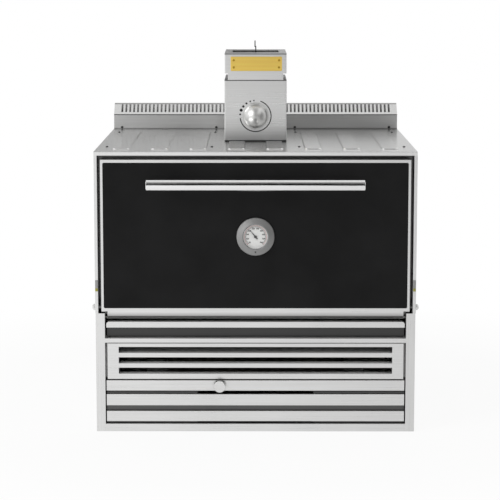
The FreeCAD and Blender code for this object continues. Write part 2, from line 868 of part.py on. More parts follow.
def insulation_rear():
    y = (firebox_rear, firebox_rear + INSULATION_REAR)
    return block(across(insulation_half), y, (floor_low, insulation_top))


grate_y = (recess_back + GRATE_END_GAP, firebox_rear - FIREBOX_WALL - GRATE_END_GAP)
grate_half = mouth_half - GRATE_SIDE_GAP
grate_low = mouth_low + GRATE_RISE


def charcoal_grate():
    plate = block(across(grate_half), grate_y, (grate_low, grate_low + GRATE_THICKNESS))
    pitch = GRATE_SLOT + GRATE_BAR
    count = int((2 * grate_half - GRATE_BAR) / pitch)
    middle = (grate_y[0] + grate_y[1]) / 2
    front_span = (grate_y[0] + GRATE_RIB, middle - GRATE_RIB / 2)
    rear_span = (middle + GRATE_RIB / 2, grate_y[1] - GRATE_RIB)
    slots = []
    for index in range(count):
        x = around((index - (count - 1) / 2) * pitch, GRATE_SLOT / 2)
        for span in (front_span, rear_span):
            slots.append(block(x, span, (grate_low - SHEET, grate_low + GRATE_THICKNESS + SHEET)))
    return without(plate, slots)


def grate_rests():
    ledge_z = (grate_low - REST_THICKNESS, grate_low)
    ledge = block((mouth_half - REST_LEDGE, mouth_half), grate_y, ledge_z)
    leg = block((mouth_half - REST_THICKNESS, mouth_half), grate_y, (mouth_low, grate_low))
    return pair(join([ledge, leg]))


ladder_middle = (recess_back + firebox_rear - FIREBOX_WALL) / 2


def level_top(level):
    return mouth_low + LEVEL_FIRST + level * LEVEL_PITCH


def rack_ladders():
    inner = mouth_half - LADDER_THICKNESS
    strip_z = (grate_low + GRATE_THICKNESS, mouth_top - LADDER_TOP_GAP)
    pieces = []
    for side in (-1, 1):
        y = around(ladder_middle + side * LADDER_SPREAD, LADDER_STRIP / 2)
        pieces.append(block((inner, mouth_half), y, strip_z))
    ledge_y = (recess_back + RACK_END_GAP, firebox_rear - FIREBOX_WALL - RACK_END_GAP)
    for level in range(LEVEL_COUNT):
        z = (level_top(level) - LADDER_LEDGE_THICKNESS, level_top(level))
        pieces.append(block((inner - LADDER_LEDGE, inner), ledge_y, z))
    return pair(join(pieces))


def grill_rack(level):
    cross_z = level_top(level) + RACK_CROSS_RADIUS
    rod_level = cross_z + RACK_CROSS_RADIUS + RACK_ROD_RADIUS - RACK_WELD
    half = mouth_half - LADDER_THICKNESS - RACK_SIDE_GAP
    y = (recess_back + RACK_END_GAP, firebox_rear - FIREBOX_WALL - RACK_END_GAP)
    cross_inset = 2 * RACK_CROSS_RADIUS
    places = (y[0] + cross_inset, (y[0] + y[1]) / 2, y[1] - cross_inset)
    rods = [rod_x(across(half), place, cross_z, RACK_CROSS_RADIUS) for place in places]
    count = int((2 * half - 2 * LADDER_LEDGE) / RACK_PITCH) + 1
    for index in range(count):
        x = (index - (count - 1) / 2) * RACK_PITCH
        rods.append(rod_y(x, y, rod_level, RACK_ROD_RADIUS))
    return join(rods)


# Door

def door_profile(low, radius):
    """Side view of the door: a rounded front bottom edge, in the YZ plane."""
    start = V(0, door_front, low + radius)
    middle_y = door_front + radius - radius * math.cos(math.pi / 4)
    middle = V(0, middle_y, low + radius - radius * math.sin(math.pi / 4))
    end = V(0, door_front + radius, low)
    corners = [end, V(0, door_back, low), V(0, door_back, door_top), V(0, door_front, door_top), start]
    edges = [Part.Arc(start, middle, end).toShape()]
    edges += [Part.LineSegment(a, b).toShape() for a, b in zip(corners, corners[1:])]
    return Part.Face(Part.Wire(Part.__sortEdges__(edges)))


def door_bar(low, radius, x):
    shape = door_profile(low, radius).extrude(V(x[1] - x[0], 0, 0))
    shape.translate(V(x[0], 0, 0))
    return shape


def door_frame():
    body = join([
        door_bar(door_low, ROLL_RADIUS, across(roll_half)),
        door_bar(corner_low, END_ROUND, (roll_half, door_half)),
        door_bar(corner_low, END_ROUND, (-door_half, -roll_half)),
    ])
    pocket_y = (panel_front, door_back + DOOR_WALL)
    pocket_z = (corner_low + END_ROUND, door_top - DOOR_WALL)
    wide_pocket = block(across(door_half - DOOR_WALL), pocket_y, pocket_z)
    low_y = (door_front + ROLL_RADIUS, door_back + DOOR_WALL)
    low_pocket = block(across(roll_half - DOOR_WALL), low_y, (door_low + DOOR_WALL, corner_low + END_ROUND))
    window = block(across(opening_half), (door_front - SHEET, panel_front + SHEET), (panel_low, panel_top))
    window = rounded(window, Y_AXIS, DOOR_CORNER)
    hollow = without(body, [wide_pocket, low_pocket, window])
    seat = hinge_block()
    holes = [bush_hole(1), bush_hole(-1)]
    return without(join([hollow, seat, mirrored(seat)]), holes)


def hinge_block():
    y = (panel_back + PANEL_FIT, hinge_y + HINGE_BLOCK_HALF)
    z = (corner_low + DOOR_WALL, hinge_z + HINGE_BLOCK_HALF)
    return block((door_half - DOOR_WALL - BUSH_LENGTH, door_half - DOOR_WALL), y, z)


bush_radius = PIN_RADIUS + RUNNING_CLEARANCE + BUSH_WALL


def bush_hole(side):
    x = (door_half - BUSH_LENGTH, door_half + SHEET)
    hole = rod_x(x, hinge_y, hinge_z, bush_radius)
    return hole if side > 0 else mirrored(hole)


def hinge_bushes():
    x = (door_half - BUSH_LENGTH, door_half)
    ring = rod_x(x, hinge_y, hinge_z, bush_radius)
    bore = rod_x((x[0] - SHEET, x[1] + SHEET), hinge_y, hinge_z, PIN_RADIUS + RUNNING_CLEARANCE)
    return pair(without(ring, [bore]))


def hinge_pins():
    shank = rod_x((door_half - BUSH_LENGTH + BEND, WIDTH / 2), hinge_y, hinge_z, PIN_RADIUS)
    collar = rod_x((recess_half - PIN_COLLAR_LENGTH, recess_half), hinge_y, hinge_z, PIN_COLLAR_RADIUS)
    return pair(join([shank, collar]))


def hinge_nuts():
    corners = []
    for step in range(6):
        angle = math.radians(60 * step)
        corners.append((hinge_y + NUT_RADIUS * math.cos(angle), hinge_z + NUT_RADIUS * math.sin(angle)))
    hexagon = prism_x(corners, (WIDTH / 2, WIDTH / 2 + NUT_HEX_HEIGHT))
    dome_length = NUT_LENGTH - NUT_HEX_HEIGHT
    dome_radius = NUT_RADIUS * math.cos(math.pi / 6)
    dome = Part.makeCone(dome_radius, dome_radius / 2, dome_length,
                         V(WIDTH / 2 + NUT_HEX_HEIGHT, hinge_y, hinge_z), X_AXIS)
    return pair(join([hexagon, dome]))


panel_half = door_half - DOOR_WALL - PANEL_FIT
panel_sheet_low = corner_low + END_ROUND + PANEL_FIT
dial_z = panel_top - DIAL_DROP


def stem_hole(y):
    return rod_y(0, y, dial_z, STEM_RADIUS)


def door_panel():
    y = (panel_front, panel_back)
    sheet = block(across(panel_half), y, (panel_sheet_low, door_top - DOOR_WALL - PANEL_FIT))
    return without(sheet, [stem_hole((panel_front - SHEET, panel_back + SHEET))])


def door_insulation():
    y = (panel_back, door_back)
    low = hinge_z + HINGE_BLOCK_HALF + PANEL_FIT
    fill = block(across(panel_half), y, (low, door_top - DOOR_WALL - PANEL_FIT))
    return without(fill, [stem_hole((panel_back - SHEET, door_back + SHEET))])


def door_liner():
    x = across(door_half - LINER_BORDER)
    z = (door_low + LINER_BORDER, door_top - LINER_BORDER)
    plate = block(x, (door_back, liner_back), z)
    field_half = seal_half - LINER_FIELD_INSET
    field_z = (seal_low + LINER_FIELD_INSET, seal_top - LINER_FIELD_INSET)
    field = block(across(field_half), (liner_back, liner_back + LINER_FIELD_RAISE), field_z)
    field = field.makeChamfer(LINER_FIELD_RAISE - SHEET, [
        edge for edge in field.Edges if near(edge.CenterOfMass.y, liner_back + LINER_FIELD_RAISE)])
    hole = stem_hole((door_back - SHEET, liner_back + LINER_FIELD_RAISE + SHEET))
    return without(join([plate, field]), [hole])


def door_seal():
    y = (liner_back, liner_back + SEAL_THICKNESS)
    outer = rounded(block(across(seal_half), y, (seal_low, seal_top)), Y_AXIS, SEAL_WIDTH + SEAL_ROUND)
    inner_half = seal_half - SEAL_WIDTH
    inner_z = (seal_low + SEAL_WIDTH, seal_top - SEAL_WIDTH)
    inner = block(across(inner_half), (y[0] - SHEET, y[1] + SHEET), inner_z)
    ring = without(outer, [rounded(inner, Y_AXIS, SEAL_ROUND)])
    rim = [edge for edge in ring.Edges if near(edge.CenterOfMass.y, y[1])]
    return ring.makeFillet(SEAL_ROUND, rim)


def door_catches():
    low = panel_low + CATCH_LOW
    middle = WIDTH / 2 - SURROUND_FACE / 2
    body = block(around(middle, CATCH_WIDTH / 2), (front - CATCH_PROUD, front), (low, low + CATCH_HEIGHT))
    return pair(rounded(body, Z_AXIS, BEND, lambda point: near(point.y, front - CATCH_PROUD)))


def catch_pads():
    top_z = panel_low + CATCH_LOW
    middle = WIDTH / 2 - SURROUND_FACE / 2
    face = front - CATCH_PAD_PROUD
    pad = block(around(middle, CATCH_WIDTH / 2), (face, front), (top_z - CATCH_PAD_HEIGHT, top_z))
    return pair(rounded(pad, Z_AXIS, BEND, lambda point: near(point.y, face)))


# Door handle

handle_y = panel_front - HANDLE_STANDOFF
handle_z = panel_top - HANDLE_DROP


def handle_bar():
    bar = rod_x(across(HANDLE_HALF), handle_y, handle_z, HANDLE_RADIUS)
    ends = [edge for edge in bar.Edges if near(abs(edge.CenterOfMass.x), HANDLE_HALF)]
    return bar.makeChamfer(HANDLE_EDGE, ends)


def handle_posts():
    post = rod_y(HANDLE_POST_X, (handle_y, panel_front), handle_z, HANDLE_POST_RADIUS)
    return pair(without(post, [rod_x(across(HANDLE_HALF), handle_y, handle_z, HANDLE_RADIUS)]))


# Thermometer

cup_face = panel_front - CUP_FLOOR
dial_face = cup_face - DIAL_THICKNESS
needle_back = dial_face - NEEDLE_RAISE + NEEDLE_THICKNESS
needle_face = needle_back - NEEDLE_THICKNESS
bearing_radius = SPINDLE_RADIUS + RUNNING_CLEARANCE


def thermometer_bezel():
    rim_y = panel_front - BEZEL_RIM
    body = turned([
        (bearing_radius, panel_front),
        (BEZEL_RADIUS, panel_front),
        (BEZEL_RADIUS, panel_front - BEZEL_EDGE),
        (BEZEL_RADIUS - BEND, panel_front - BEZEL_EDGE - BEND),
        (DIAL_RADIUS + BEZEL_RIM_WIDTH, rim_y),
        (DIAL_RADIUS + BEND, rim_y),
        (DIAL_RADIUS, rim_y + BEND),
        (DIAL_RADIUS, cup_face),
        (bearing_radius, cup_face),
    ], 0, dial_z)
    hole_y = (rim_y, panel_front - BEZEL_EDGE / 2)
    setting_hole = rod_y(0, hole_y, dial_z - BEZEL_HOLE_DROP, BEZEL_HOLE_RADIUS)
    return without(body, [setting_hole])


def thermometer_dial():
    return turned([
        (bearing_radius, cup_face),
        (DIAL_RADIUS, cup_face),
        (DIAL_RADIUS, dial_face),
        (bearing_radius, dial_face),
    ], 0, dial_z)


def thermometer_lens():
    lens_face = panel_front - BEZEL_RIM + LENS_SETBACK
    return turned([
        (0, lens_face + LENS_THICKNESS),
        (DIAL_RADIUS, lens_face + LENS_THICKNESS),
        (DIAL_RADIUS, lens_face),
        (0, lens_face),
    ], 0, dial_z)


def thermometer_needle():
    outline = [
        (-NEEDLE_WIDTH / 2, 0),
        (-NEEDLE_WIDTH / 2, -NEEDLE_TAIL),
        (NEEDLE_WIDTH / 2, -NEEDLE_TAIL),
        (NEEDLE_WIDTH / 2, 0),
        (NEEDLE_TIP_WIDTH / 2, NEEDLE_LENGTH),
        (-NEEDLE_TIP_WIDTH / 2, NEEDLE_LENGTH),
    ]
    corners = [V(x, needle_face, z) for x, z in outline]
    blade = Part.Face(Part.makePolygon(corners + corners[:1])).extrude(V(0, NEEDLE_THICKNESS, 0))
    hub = rod_y(0, (needle_face - NEEDLE_THICKNESS, needle_back), 0, NEEDLE_HUB_RADIUS)
    spindle = rod_y(0, (needle_face, panel_front + SPINDLE_DEPTH), 0, SPINDLE_RADIUS)
    needle = join([blade, hub, spindle])
    needle.rotate(V(0, 0, 0), Y_AXIS, -NEEDLE_REST_ANGLE)
    needle.translate(V(0, 0, dial_z))
    return needle


stem_back = liner_back + STEM_REACH


def thermometer_stem():
    tube = rod_y(0, (panel_front, stem_back), dial_z, STEM_RADIUS)
    bore = rod_y(0, (panel_front - SHEET, stem_back - STEM_WALL), dial_z, STEM_RADIUS - STEM_WALL)
    return without(tube, [bore])


def thermometer_nut():
    seat = liner_back + LINER_FIELD_RAISE
    corners = []
    for step in range(6):
        angle = math.radians(60 * step)
        reach = STEM_NUT_WIDTH / 2 / math.cos(math.pi / 6)
        corners.append(V(reach * math.cos(angle), seat, dial_z + reach * math.sin(angle)))
    nut = Part.Face(Part.makePolygon(corners + corners[:1])).extrude(V(0, STEM_NUT_THICKNESS, 0))
    return without(nut, [stem_hole((seat - SHEET, seat + STEM_NUT_THICKNESS + SHEET))])


# Flue

flue_top = top + FLUE_HEIGHT
hood_low = flue_top + NECK_HEIGHT
hood_top = hood_low + HOOD_HEIGHT
neck_y = (flue_front + SHEET + NECK_FIT, flue_rear - SHEET - NECK_FIT)
damper_z = top + DAMPER_RISE


def flue_box():
    y = (flue_front, flue_rear)
    shell = rounded(block(across(FLUE_HALF), y, (top, flue_top)), Z_AXIS, 2 * BEND)
    room = block(across(FLUE_HALF - SHEET), (y[0] + SHEET, y[1] - SHEET), (top - SHEET, flue_top - SHEET))
    mouth_y = (neck_y[0] - NECK_FIT, neck_y[1] + NECK_FIT)
    mouth = block(across(NECK_HALF + NECK_FIT), mouth_y, (flue_top - 2 * SHEET, flue_top + SHEET))
    shaft = rod_y(0, (y[0] - SHEET, y[1] + SHEET), damper_z, DAMPER_BUSH_RADIUS)
    return without(shell, [room, mouth, shaft])


def flue_collar():
    neck = block(across(NECK_HALF), neck_y, (flue_top - NECK_INSERT, hood_low + SHEET))
    hood = rounded(block(across(HOOD_HALF), neck_y, (hood_low, hood_top)), Z_AXIS, 2 * BEND)
    wall_y = (neck_y[0] + SHEET, neck_y[1] - SHEET)
    neck_z = (flue_top - NECK_INSERT - SHEET, hood_low + 2 * SHEET)
    neck_room = block(across(NECK_HALF - SHEET), wall_y, neck_z)
    hood_room = block(across(HOOD_HALF - SHEET), wall_y, (hood_low + SHEET, hood_top - SHEET))
    outlet_y = around(flue_middle, OUTLET_DEPTH / 2)
    outlet = block(across(OUTLET_HALF), outlet_y, (hood_top - 2 * SHEET, hood_top + SHEET))
    ledge_z = (hood_low + HOOD_LEDGE_RISE - SHEET, hood_low + HOOD_LEDGE_RISE)
    ledge = block(across(HOOD_HALF - SHEET), wall_y, ledge_z)
    passage_y = around(flue_middle, OUTLET_DEPTH / 2 - HOOD_LEDGE)
    passage = block(across(OUTLET_HALF - HOOD_LEDGE), passage_y, ledge_z)
    shell = without(join([neck, hood]), [neck_room, hood_room, outlet])
    return join([shell, without(ledge, [passage])])


plate_low = hood_low + PLATE_LOW
plate_face = neck_y[0] - PLATE_THICKNESS


def brass_plate():
    y = (plate_face, neck_y[0])
    plate = block(around(PLATE_X, PLATE_HALF), y, (plate_low, plate_low + PLATE_HEIGHT))
    plate = rounded(plate, Y_AXIS, PLATE_CORNER)
    edge = [item for item in plate.Edges if near(item.CenterOfMass.y, plate_face)]
    return plate.makeChamfer(BEND / 2, edge)


def plate_screws():
    middle = plate_low + PLATE_HEIGHT / 2
    heads = []
    for x in around(PLATE_X, PLATE_SCREW_X):
        for z in (middle - PLATE_SCREW_Z, middle + PLATE_SCREW_Z):
            head = screw_head(PLATE_SCREW_RADIUS, PLATE_SCREW_HEIGHT)
            heads.append(facing_front(head, x, plate_face, z))
    return Part.makeCompound(heads)


# Flue damper

knob_back = flue_front - KNOB_GAP
knob_top = knob_back - KNOB_SKIRT - KNOB_DOME_HEIGHT


def damper_bushes():
    rings = []
    for y in ((flue_front, flue_front + DAMPER_BUSH_LENGTH), (flue_rear - DAMPER_BUSH_LENGTH, flue_rear)):
        ring = rod_y(0, y, damper_z, DAMPER_BUSH_RADIUS)
        bore = rod_y(0, (y[0] - SHEET, y[1] + SHEET), damper_z, DAMPER_SHAFT_RADIUS + RUNNING_CLEARANCE)
        rings.append(without(ring, [bore]))
    return Part.makeCompound(rings)


def damper_shaft():
    return rod_y(0, (knob_back, flue_rear), damper_z, DAMPER_SHAFT_RADIUS)


def damper_plate():
    y = (flue_front + DAMPER_PLATE_GAP, flue_rear - DAMPER_PLATE_GAP)
    z = around(damper_z, DAMPER_PLATE_THICKNESS / 2)
    plate = block(across(DAMPER_RISE - DAMPER_PLATE_CLEARANCE), y, z)
    sleeve = rod_y(0, y, damper_z, DAMPER_SHAFT_RADIUS + DAMPER_PLATE_THICKNESS)
    return without(join([plate, sleeve]), [damper_shaft()])


def damper_knob():
    """A skirt with a round dome on it, and a pointer groove that starts at nine o'clock."""
    skirt_face = knob_back - KNOB_SKIRT
    radius = (KNOB_DOME_RADIUS ** 2 + KNOB_DOME_HEIGHT ** 2) / (2 * KNOB_DOME_HEIGHT)
    half_angle = math.asin(KNOB_DOME_RADIUS / radius) / 2
    centre_y = knob_top + radius
    middle = V(radius * math.sin(half_angle), centre_y - radius * math.cos(half_angle), 0)
    corners = [
        V(0, knob_top, 0),
        V(0, knob_back, 0),
        V(KNOB_RADIUS - BEND, knob_back, 0),
        V(KNOB_RADIUS, knob_back - BEND, 0),
        V(KNOB_RADIUS, skirt_face + BEND, 0),
        V(KNOB_RADIUS - BEND, skirt_face, 0),
        V(KNOB_DOME_RADIUS, skirt_face, 0),
    ]
    edges = [Part.LineSegment(a, b).toShape() for a, b in zip(corners, corners[1:])]
    edges.append(Part.Arc(corners[-1], middle, corners[0]).toShape())
    solid = Part.Face(Part.Wire(edges)).revolve(V(0, 0, 0), Y_AXIS, 360)
    groove_x = (-KNOB_RADIUS - SHEET, -KNOB_DOME_RADIUS)
    groove_y = (skirt_face - SHEET, skirt_face + KNOB_POINTER_DEPTH)
    groove = block(groove_x, groove_y, across(KNOB_POINTER_WIDTH / 2))
    solid = without(solid, [groove])
    solid.translate(V(0, 0, damper_z))
    return solid


# Spark arrestor

arrestor_low = hood_low + HOOD_LEDGE_RISE + NECK_FIT
arrestor_half = OUTLET_HALF - ARRESTOR_FIT
arrestor_depth_half = OUTLET_DEPTH / 2 - ARRESTOR_FIT


def spark_arrestor():
    y = around(flue_middle, arrestor_depth_half)
    frame = block(across(arrestor_half), y, (arrestor_low, arrestor_low + ARRESTOR_FRAME))
    room_y = around(flue_middle, arrestor_depth_half - ARRESTOR_BORDER)
    room_z = (arrestor_low + ARRESTOR_MESH_THICKNESS, arrestor_low + ARRESTOR_FRAME + SHEET)
    room = block(across(arrestor_half - ARRESTOR_BORDER), room_y, room_z)
    holes = []
    columns = hole_places(arrestor_half - ARRESTOR_BORDER)
    rows = hole_places(arrestor_depth_half - ARRESTOR_BORDER)
    hole_z = (arrestor_low - SHEET, arrestor_low + ARRESTOR_FRAME)
    for x in columns:
        for y_offset in rows:
            if abs(x) > ARRESTOR_PITCH / 2 or abs(y_offset) > ARRESTOR_PITCH / 2:
                y_hole = around(flue_middle + y_offset, ARRESTOR_HOLE / 2)
                holes.append(block(around(x, ARRESTOR_HOLE / 2), y_hole, hole_z))
    return without(frame, [room] + holes)


def hole_places(half):
    """Evenly pitched places from the middle out, as many as fit, always an odd number."""
    steps = int((half - ARRESTOR_HOLE / 2) / ARRESTOR_PITCH)
    return [index * ARRESTOR_PITCH for index in range(-steps, steps + 1)]


def arrestor_eye():
    loop_middle = hood_top + EYE_HEIGHT - EYE_LOOP_RADIUS - EYE_WIRE_RADIUS
    stem_z = (arrestor_low + ARRESTOR_MESH_THICKNESS, loop_middle - EYE_LOOP_RADIUS + EYE_WIRE_RADIUS)
    stem = rod_z(EYE_STEM_X, flue_middle, stem_z, EYE_WIRE_RADIUS)
    loop = Part.makeTorus(EYE_LOOP_RADIUS, EYE_WIRE_RADIUS, V(EYE_LOOP_X, flue_middle, loop_middle), X_AXIS)
    return join([stem, loop])


NODES = {
    "base_plate": base_plate,
    "front_frame": front_frame,
    "side_panel_right": side_panel,
    "side_panel_left": lambda: mirrored(side_panel()),
    "back_panel": back_panel,
    "deck_plate": deck_plate,
    "ash_drawer_front": ash_drawer_front,
    "ash_drawer_pan": ash_drawer_pan,
    "draught_slide": draught_slide,
    "draught_knob": draught_knob,
    "draught_guides": draught_guides,
    "ash_chute": ash_chute,
    "vent_grille": vent_grille,
    "grease_drawer_front": grease_drawer_front,
    "grease_drawer_pan": grease_drawer_pan,
    "drawer_runners": drawer_runners,
    "front_surround": front_surround,
    "top_plate": top_plate,
    "rear_upstand": rear_upstand,
    "casing_screws": casing_screws,
    "firebox_walls": firebox_walls,
    "firebox_floor": firebox_floor,
    "firebox_roof": firebox_roof,
    "flue_throat": flue_throat,
    "floor_board": floor_board,
    "insulation_wrap": insulation_wrap,
    "insulation_rear": insulation_rear,
    "charcoal_grate": charcoal_grate,
    "grate_rests": grate_rests,
    "rack_ladders": rack_ladders,
    "grill_rack_lower": lambda: grill_rack(LOWER_RACK_LEVEL),
    "grill_rack_upper": lambda: grill_rack(UPPER_RACK_LEVEL),
    "door_frame": door_frame,
    "door_panel": door_panel,
    "door_insulation": door_insulation,
    "door_liner": door_liner,
    "door_seal": door_seal,
    "hinge_bushes": hinge_bushes,
    "hinge_pins": hinge_pins,
    "hinge_nuts": hinge_nuts,
    "door_catches": door_catches,
    "catch_pads": catch_pads,
    "handle_bar": handle_bar,
    "handle_posts": handle_posts,
    "thermometer_bezel": thermometer_bezel,
    "thermometer_dial": thermometer_dial,
    "thermometer_lens": thermometer_lens,
    "thermometer_needle": thermometer_needle,
    "thermometer_stem": thermometer_stem,
    "thermometer_nut": thermometer_nut,
    "flue_box": flue_box,
    "flue_collar": flue_collar,
    "brass_plate": brass_plate,
    "plate_screws": plate_screws,
    "damper_bushes": damper_bushes,
    "damper_shaft": damper_shaft,
    "damper_plate": damper_plate,
    "damper_knob": damper_knob,
    "spark_arrestor": spark_arrestor,
    "arrestor_eye": arrestor_eye,
}

os.makedirs("parts", exist_ok=True)
for node, make in NODES.items():
    save(node, make())
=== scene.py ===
import math

import bmesh
import bpy
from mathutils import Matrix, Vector


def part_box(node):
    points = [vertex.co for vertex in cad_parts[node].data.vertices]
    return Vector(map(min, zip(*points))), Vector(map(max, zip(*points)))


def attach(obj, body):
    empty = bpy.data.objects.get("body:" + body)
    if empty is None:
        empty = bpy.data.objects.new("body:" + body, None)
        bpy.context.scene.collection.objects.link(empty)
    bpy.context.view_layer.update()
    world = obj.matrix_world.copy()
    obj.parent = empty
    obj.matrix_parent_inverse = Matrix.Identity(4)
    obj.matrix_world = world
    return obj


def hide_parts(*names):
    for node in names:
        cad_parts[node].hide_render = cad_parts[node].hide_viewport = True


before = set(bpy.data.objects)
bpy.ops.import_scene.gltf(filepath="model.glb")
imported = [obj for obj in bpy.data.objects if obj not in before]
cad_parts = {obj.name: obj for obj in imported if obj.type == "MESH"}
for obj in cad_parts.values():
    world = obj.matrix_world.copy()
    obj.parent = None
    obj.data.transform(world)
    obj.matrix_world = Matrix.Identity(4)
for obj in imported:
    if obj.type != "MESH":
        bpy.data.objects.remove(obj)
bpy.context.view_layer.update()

# Looks of a free-standing charcoal oven, in metres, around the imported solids.

# Camera, found from the corners of the front and the top in the photograph
LENS = 138.91
SENSOR = 36.0
CAMERA_PLACE = (0.0002, -5.4089, 1.2185)
CAMERA_PITCH = 8.2255
CAMERA_YAW = 0.167

# White room. The floor's share of plain white rises between two distances from the oven
WHITE = (1, 1, 1, 1)
AMBIENT = 0.62
FLOOR_SIZE = 16.0
FLOOR_COLOUR = (0.9, 0.9, 0.89, 1)
FLOOR_WHITE = (0.9, 1.0)
FLOOR_FADE = (0.9, 1.7)

# As metal shows it, the floor gets darker from left to right between two places
SHEEN_SPAN = (-0.5, 0.6)
SHEEN_SHARE = (1.0, 0.76)

# Square lamps, all aimed at one point
LAMP_AIM = (0, 0, 0.5)
LAMPS = (
    dict(name="key", place=(-2.8, -2.6, 2.6), size=1.8, watts=45),
    dict(name="fill", place=(3.0, -2.4, 1.8), size=1.6, watts=10, in_metal=False),
    dict(name="over", place=(0, -0.4, 3.4), size=2.2, watts=12, in_metal=False),
)

# Grey boards that only show in polished metal. They stand upright unless they have a tilt of their own
UPRIGHT = 90.0
LEVEL = 0.0
SIDEWAYS = 90.0
BOARDS = (
    dict(name="front_board", middle=(0.0, -3.0, 4.07), width=1.4, height=6.06, grey=0.02),
    dict(name="over_front_board", middle=(0.0, -1.9, 3.2), width=2.0, height=1.0, grey=0.36, tilt=LEVEL),
    dict(name="over_board", middle=(0.0, -0.8, 3.2), width=2.0, height=1.2, grey=0.7, tilt=LEVEL),
    dict(name="back_left_board", middle=(-1.2, 1.6, 1.6), width=2.4, height=1.7, grey=0.56),
    dict(name="back_right_board", middle=(1.2, 1.6, 1.6), width=2.4, height=1.7, grey=0.84),
    dict(name="corner_board", middle=(1.1, -3.0, 1.2), width=1.7, height=0.8, grey=0.06),
    dict(name="side_board", middle=(2.0, -1.6, 1.2), width=2.6, height=1.9, grey=0.2, turn=SIDEWAYS),
)

# Colours
STEEL = (0.75, 0.75, 0.745)
HOOD_STEEL = (0.81, 0.81, 0.805)
# Painted shade: the rear upstand's steel is darker than the rest, standing in for the darker surroundings it
# reflects
REAR_SHADED_STEEL = (0.57, 0.57, 0.565)
# Painted shade: the hinge pins sit in the door's recess, and their steel is made dark as its shade
PIN_SHADE_STEEL = (0.12, 0.12, 0.118)
INNER_STEEL = (0.42, 0.42, 0.41)
HANDLE_STEEL = (0.86, 0.86, 0.86)
# Painted shade: the bezel's steel is darkened to stand in for the dark surroundings it reflects
BEZEL_SHADED_STEEL = (0.35, 0.35, 0.348)
DAMPER_STEEL = (0.7, 0.7, 0.69)
HARDWARE_STEEL = (0.45, 0.45, 0.445)
NUT_STEEL = (0.78, 0.78, 0.77)
SCREW_STEEL = (0.07, 0.07, 0.069)
CATCH_STEEL = (0.34, 0.34, 0.335)
BRASS = (1.0, 0.7, 0.166)
PAD_BRASS = (0.36, 0.34, 0.09)
SCREW_BRASS = (0.55, 0.36, 0.05)
DOOR_BLACK = (0.0085, 0.0085, 0.0088)
DIAL_WHITE = (0.87, 0.87, 0.855)
PRINT_BLACK = (0.006, 0.006, 0.006)
PRINT_RED = (0.55, 0.035, 0.04)
IRON = (0.03, 0.03, 0.031)
BURNT_GREY = (0.055, 0.053, 0.052)
BURNT_BROWN = (0.075, 0.058, 0.045)
SOOT = (0.02, 0.02, 0.021)
ROPE_GREY = (0.13, 0.12, 0.11)
BLANKET_PALE = (0.74, 0.71, 0.64)
GLASS_CLEAR = (0.98, 0.99, 0.99)

# Brushing is noise drawn out along one axis. It is upright further out than the posts' half width
STREAK = 0.012
STREAK_X = (STREAK, 1, 1)
STREAK_Y = (1, STREAK, 1)
STREAK_Z = (1, 1, STREAK)
EVEN = (1, 1, 1)
STREAK_DETAIL = 4.0
STREAK_SHARE = 0.6
STREAK_DEPTH = 0.0004
POST_HALF = 0.4

# Roughness of brushed sheet, and the shares of it by which it goes down and up
SHEET_ROUGHNESS = 0.3
SMOOTHER = 0.2
ROUGHER = 0.25

# Features per metre of the noise on metal
SHEET_GRAIN = 420.0
INNER_GRAIN = 260.0
BAR_GRAIN = 700.0
SMALL_GRAIN = 900.0

# Values that most of a noise lies between
NOISE_LOW = 0.3
NOISE_HIGH = 0.7

# Sockets of a mix node that are for colours
MIX_FACTOR = 0
MIX_COLOURS = (6, 7)
MIX_RESULT = 2

# Levels on the part where the tone of a sheet changes as painted shade, or where the grille loses its shine:
# behind a front skin, and up or down a sheet
TONE_STEP = 0.0001
FRAME_SHADE_AND_MATT_Y = -0.3675
SURROUND_RECESS_SHADE_Y = -0.367
GRILLE_SKIN_Y = -0.3668
ASH_CHANNEL_SHADE_Y = -0.3655
GREASE_UNDER_LIP_SHADE_Y = -0.3515
DOOR_ROLL_SHADE_Z = (0.325, 0.309)
FLUE_FOOT_SHADOW_LINE_Z = (0.7548, 0.7538)
FLUE_FOOT_SHADE_Z = (0.79, 0.752)
REAR_FOOT_SHADOW_LINE_Z = (0.7535, 0.7525)

# Depths of the painted shade along the flue's and collar's top edges, behind the knob's face and along the
# strip's top edge; the folded strip at the rear, its painted lighter share, and the height and share of the
# painted shadow line at its fold
FLUE_TOP_SHADE_DEPTH = 0.0025
HOOD_TOP_SHADE_DEPTH = 0.0036
KNOB_SIDE_SHADE_DEPTH = 0.0012
STRIP_RISE = 0.0306
STRIP_TOP_SHADE_DEPTH = 0.003
STRIP_PAINTED_LIGHT = 1.14
FOLD_SHADOW_HEIGHT = 0.0024
FOLD_SHADOW_SHARE = 0.12

# Printed scale of the thermometer. Ticks reach from an inner to an outer radius
PRINT_THICKNESS = 0.00012
SCALE_HALF_ANGLE = 135.0
NUMBER_COUNT = 10
NUMBER_STEP = 50
NUMBER_RADIUS = 0.0218
NUMBER_HEIGHT = 0.0052
NUMBER_WEIGHT = 0.00022
BLACK_TICKS = 46
BLACK_TICK = (0.0248, 0.0274)
BLACK_HALF_TURN = 1.3
RED_TICKS = 64
RED_TICK = (0.028, 0.0302)
RED_HALF_TURN = 0.8

# Round cap over the needle's hub
NEEDLE_CAP_RADIUS = 0.0038
NEEDLE_CAP_THICKNESS = 0.0006
NEEDLE_CAP_SIDES = 32

# Printed ring round the damper knob. A dot has an angle, and a radius in widths of the ring's line
RING_RADIUS = 0.043
RING_LINE = 0.0028
RING_START = 18.0
RING_END = 262.0
RING_STEPS = 90
RING_DOTS = ((276, 0.9), (292, 1.5), (308, 1.2), (324, 1.0), (340, 0.8), (354, 0.7))
DOT_SIDES = 16

# Rope seal on the back of the door
ROPE_HALF_WIDTH = 0.006
ROPE_CORNER = 0.011
CORNER_STEPS = 12
QUARTER_TURN = 90.0
STRANDS = 4
STRAND_RADIUS = 0.0031
STRAND_PITCH = 0.034
STRAND_STEPS = 14
STRAND_SIDES = 8

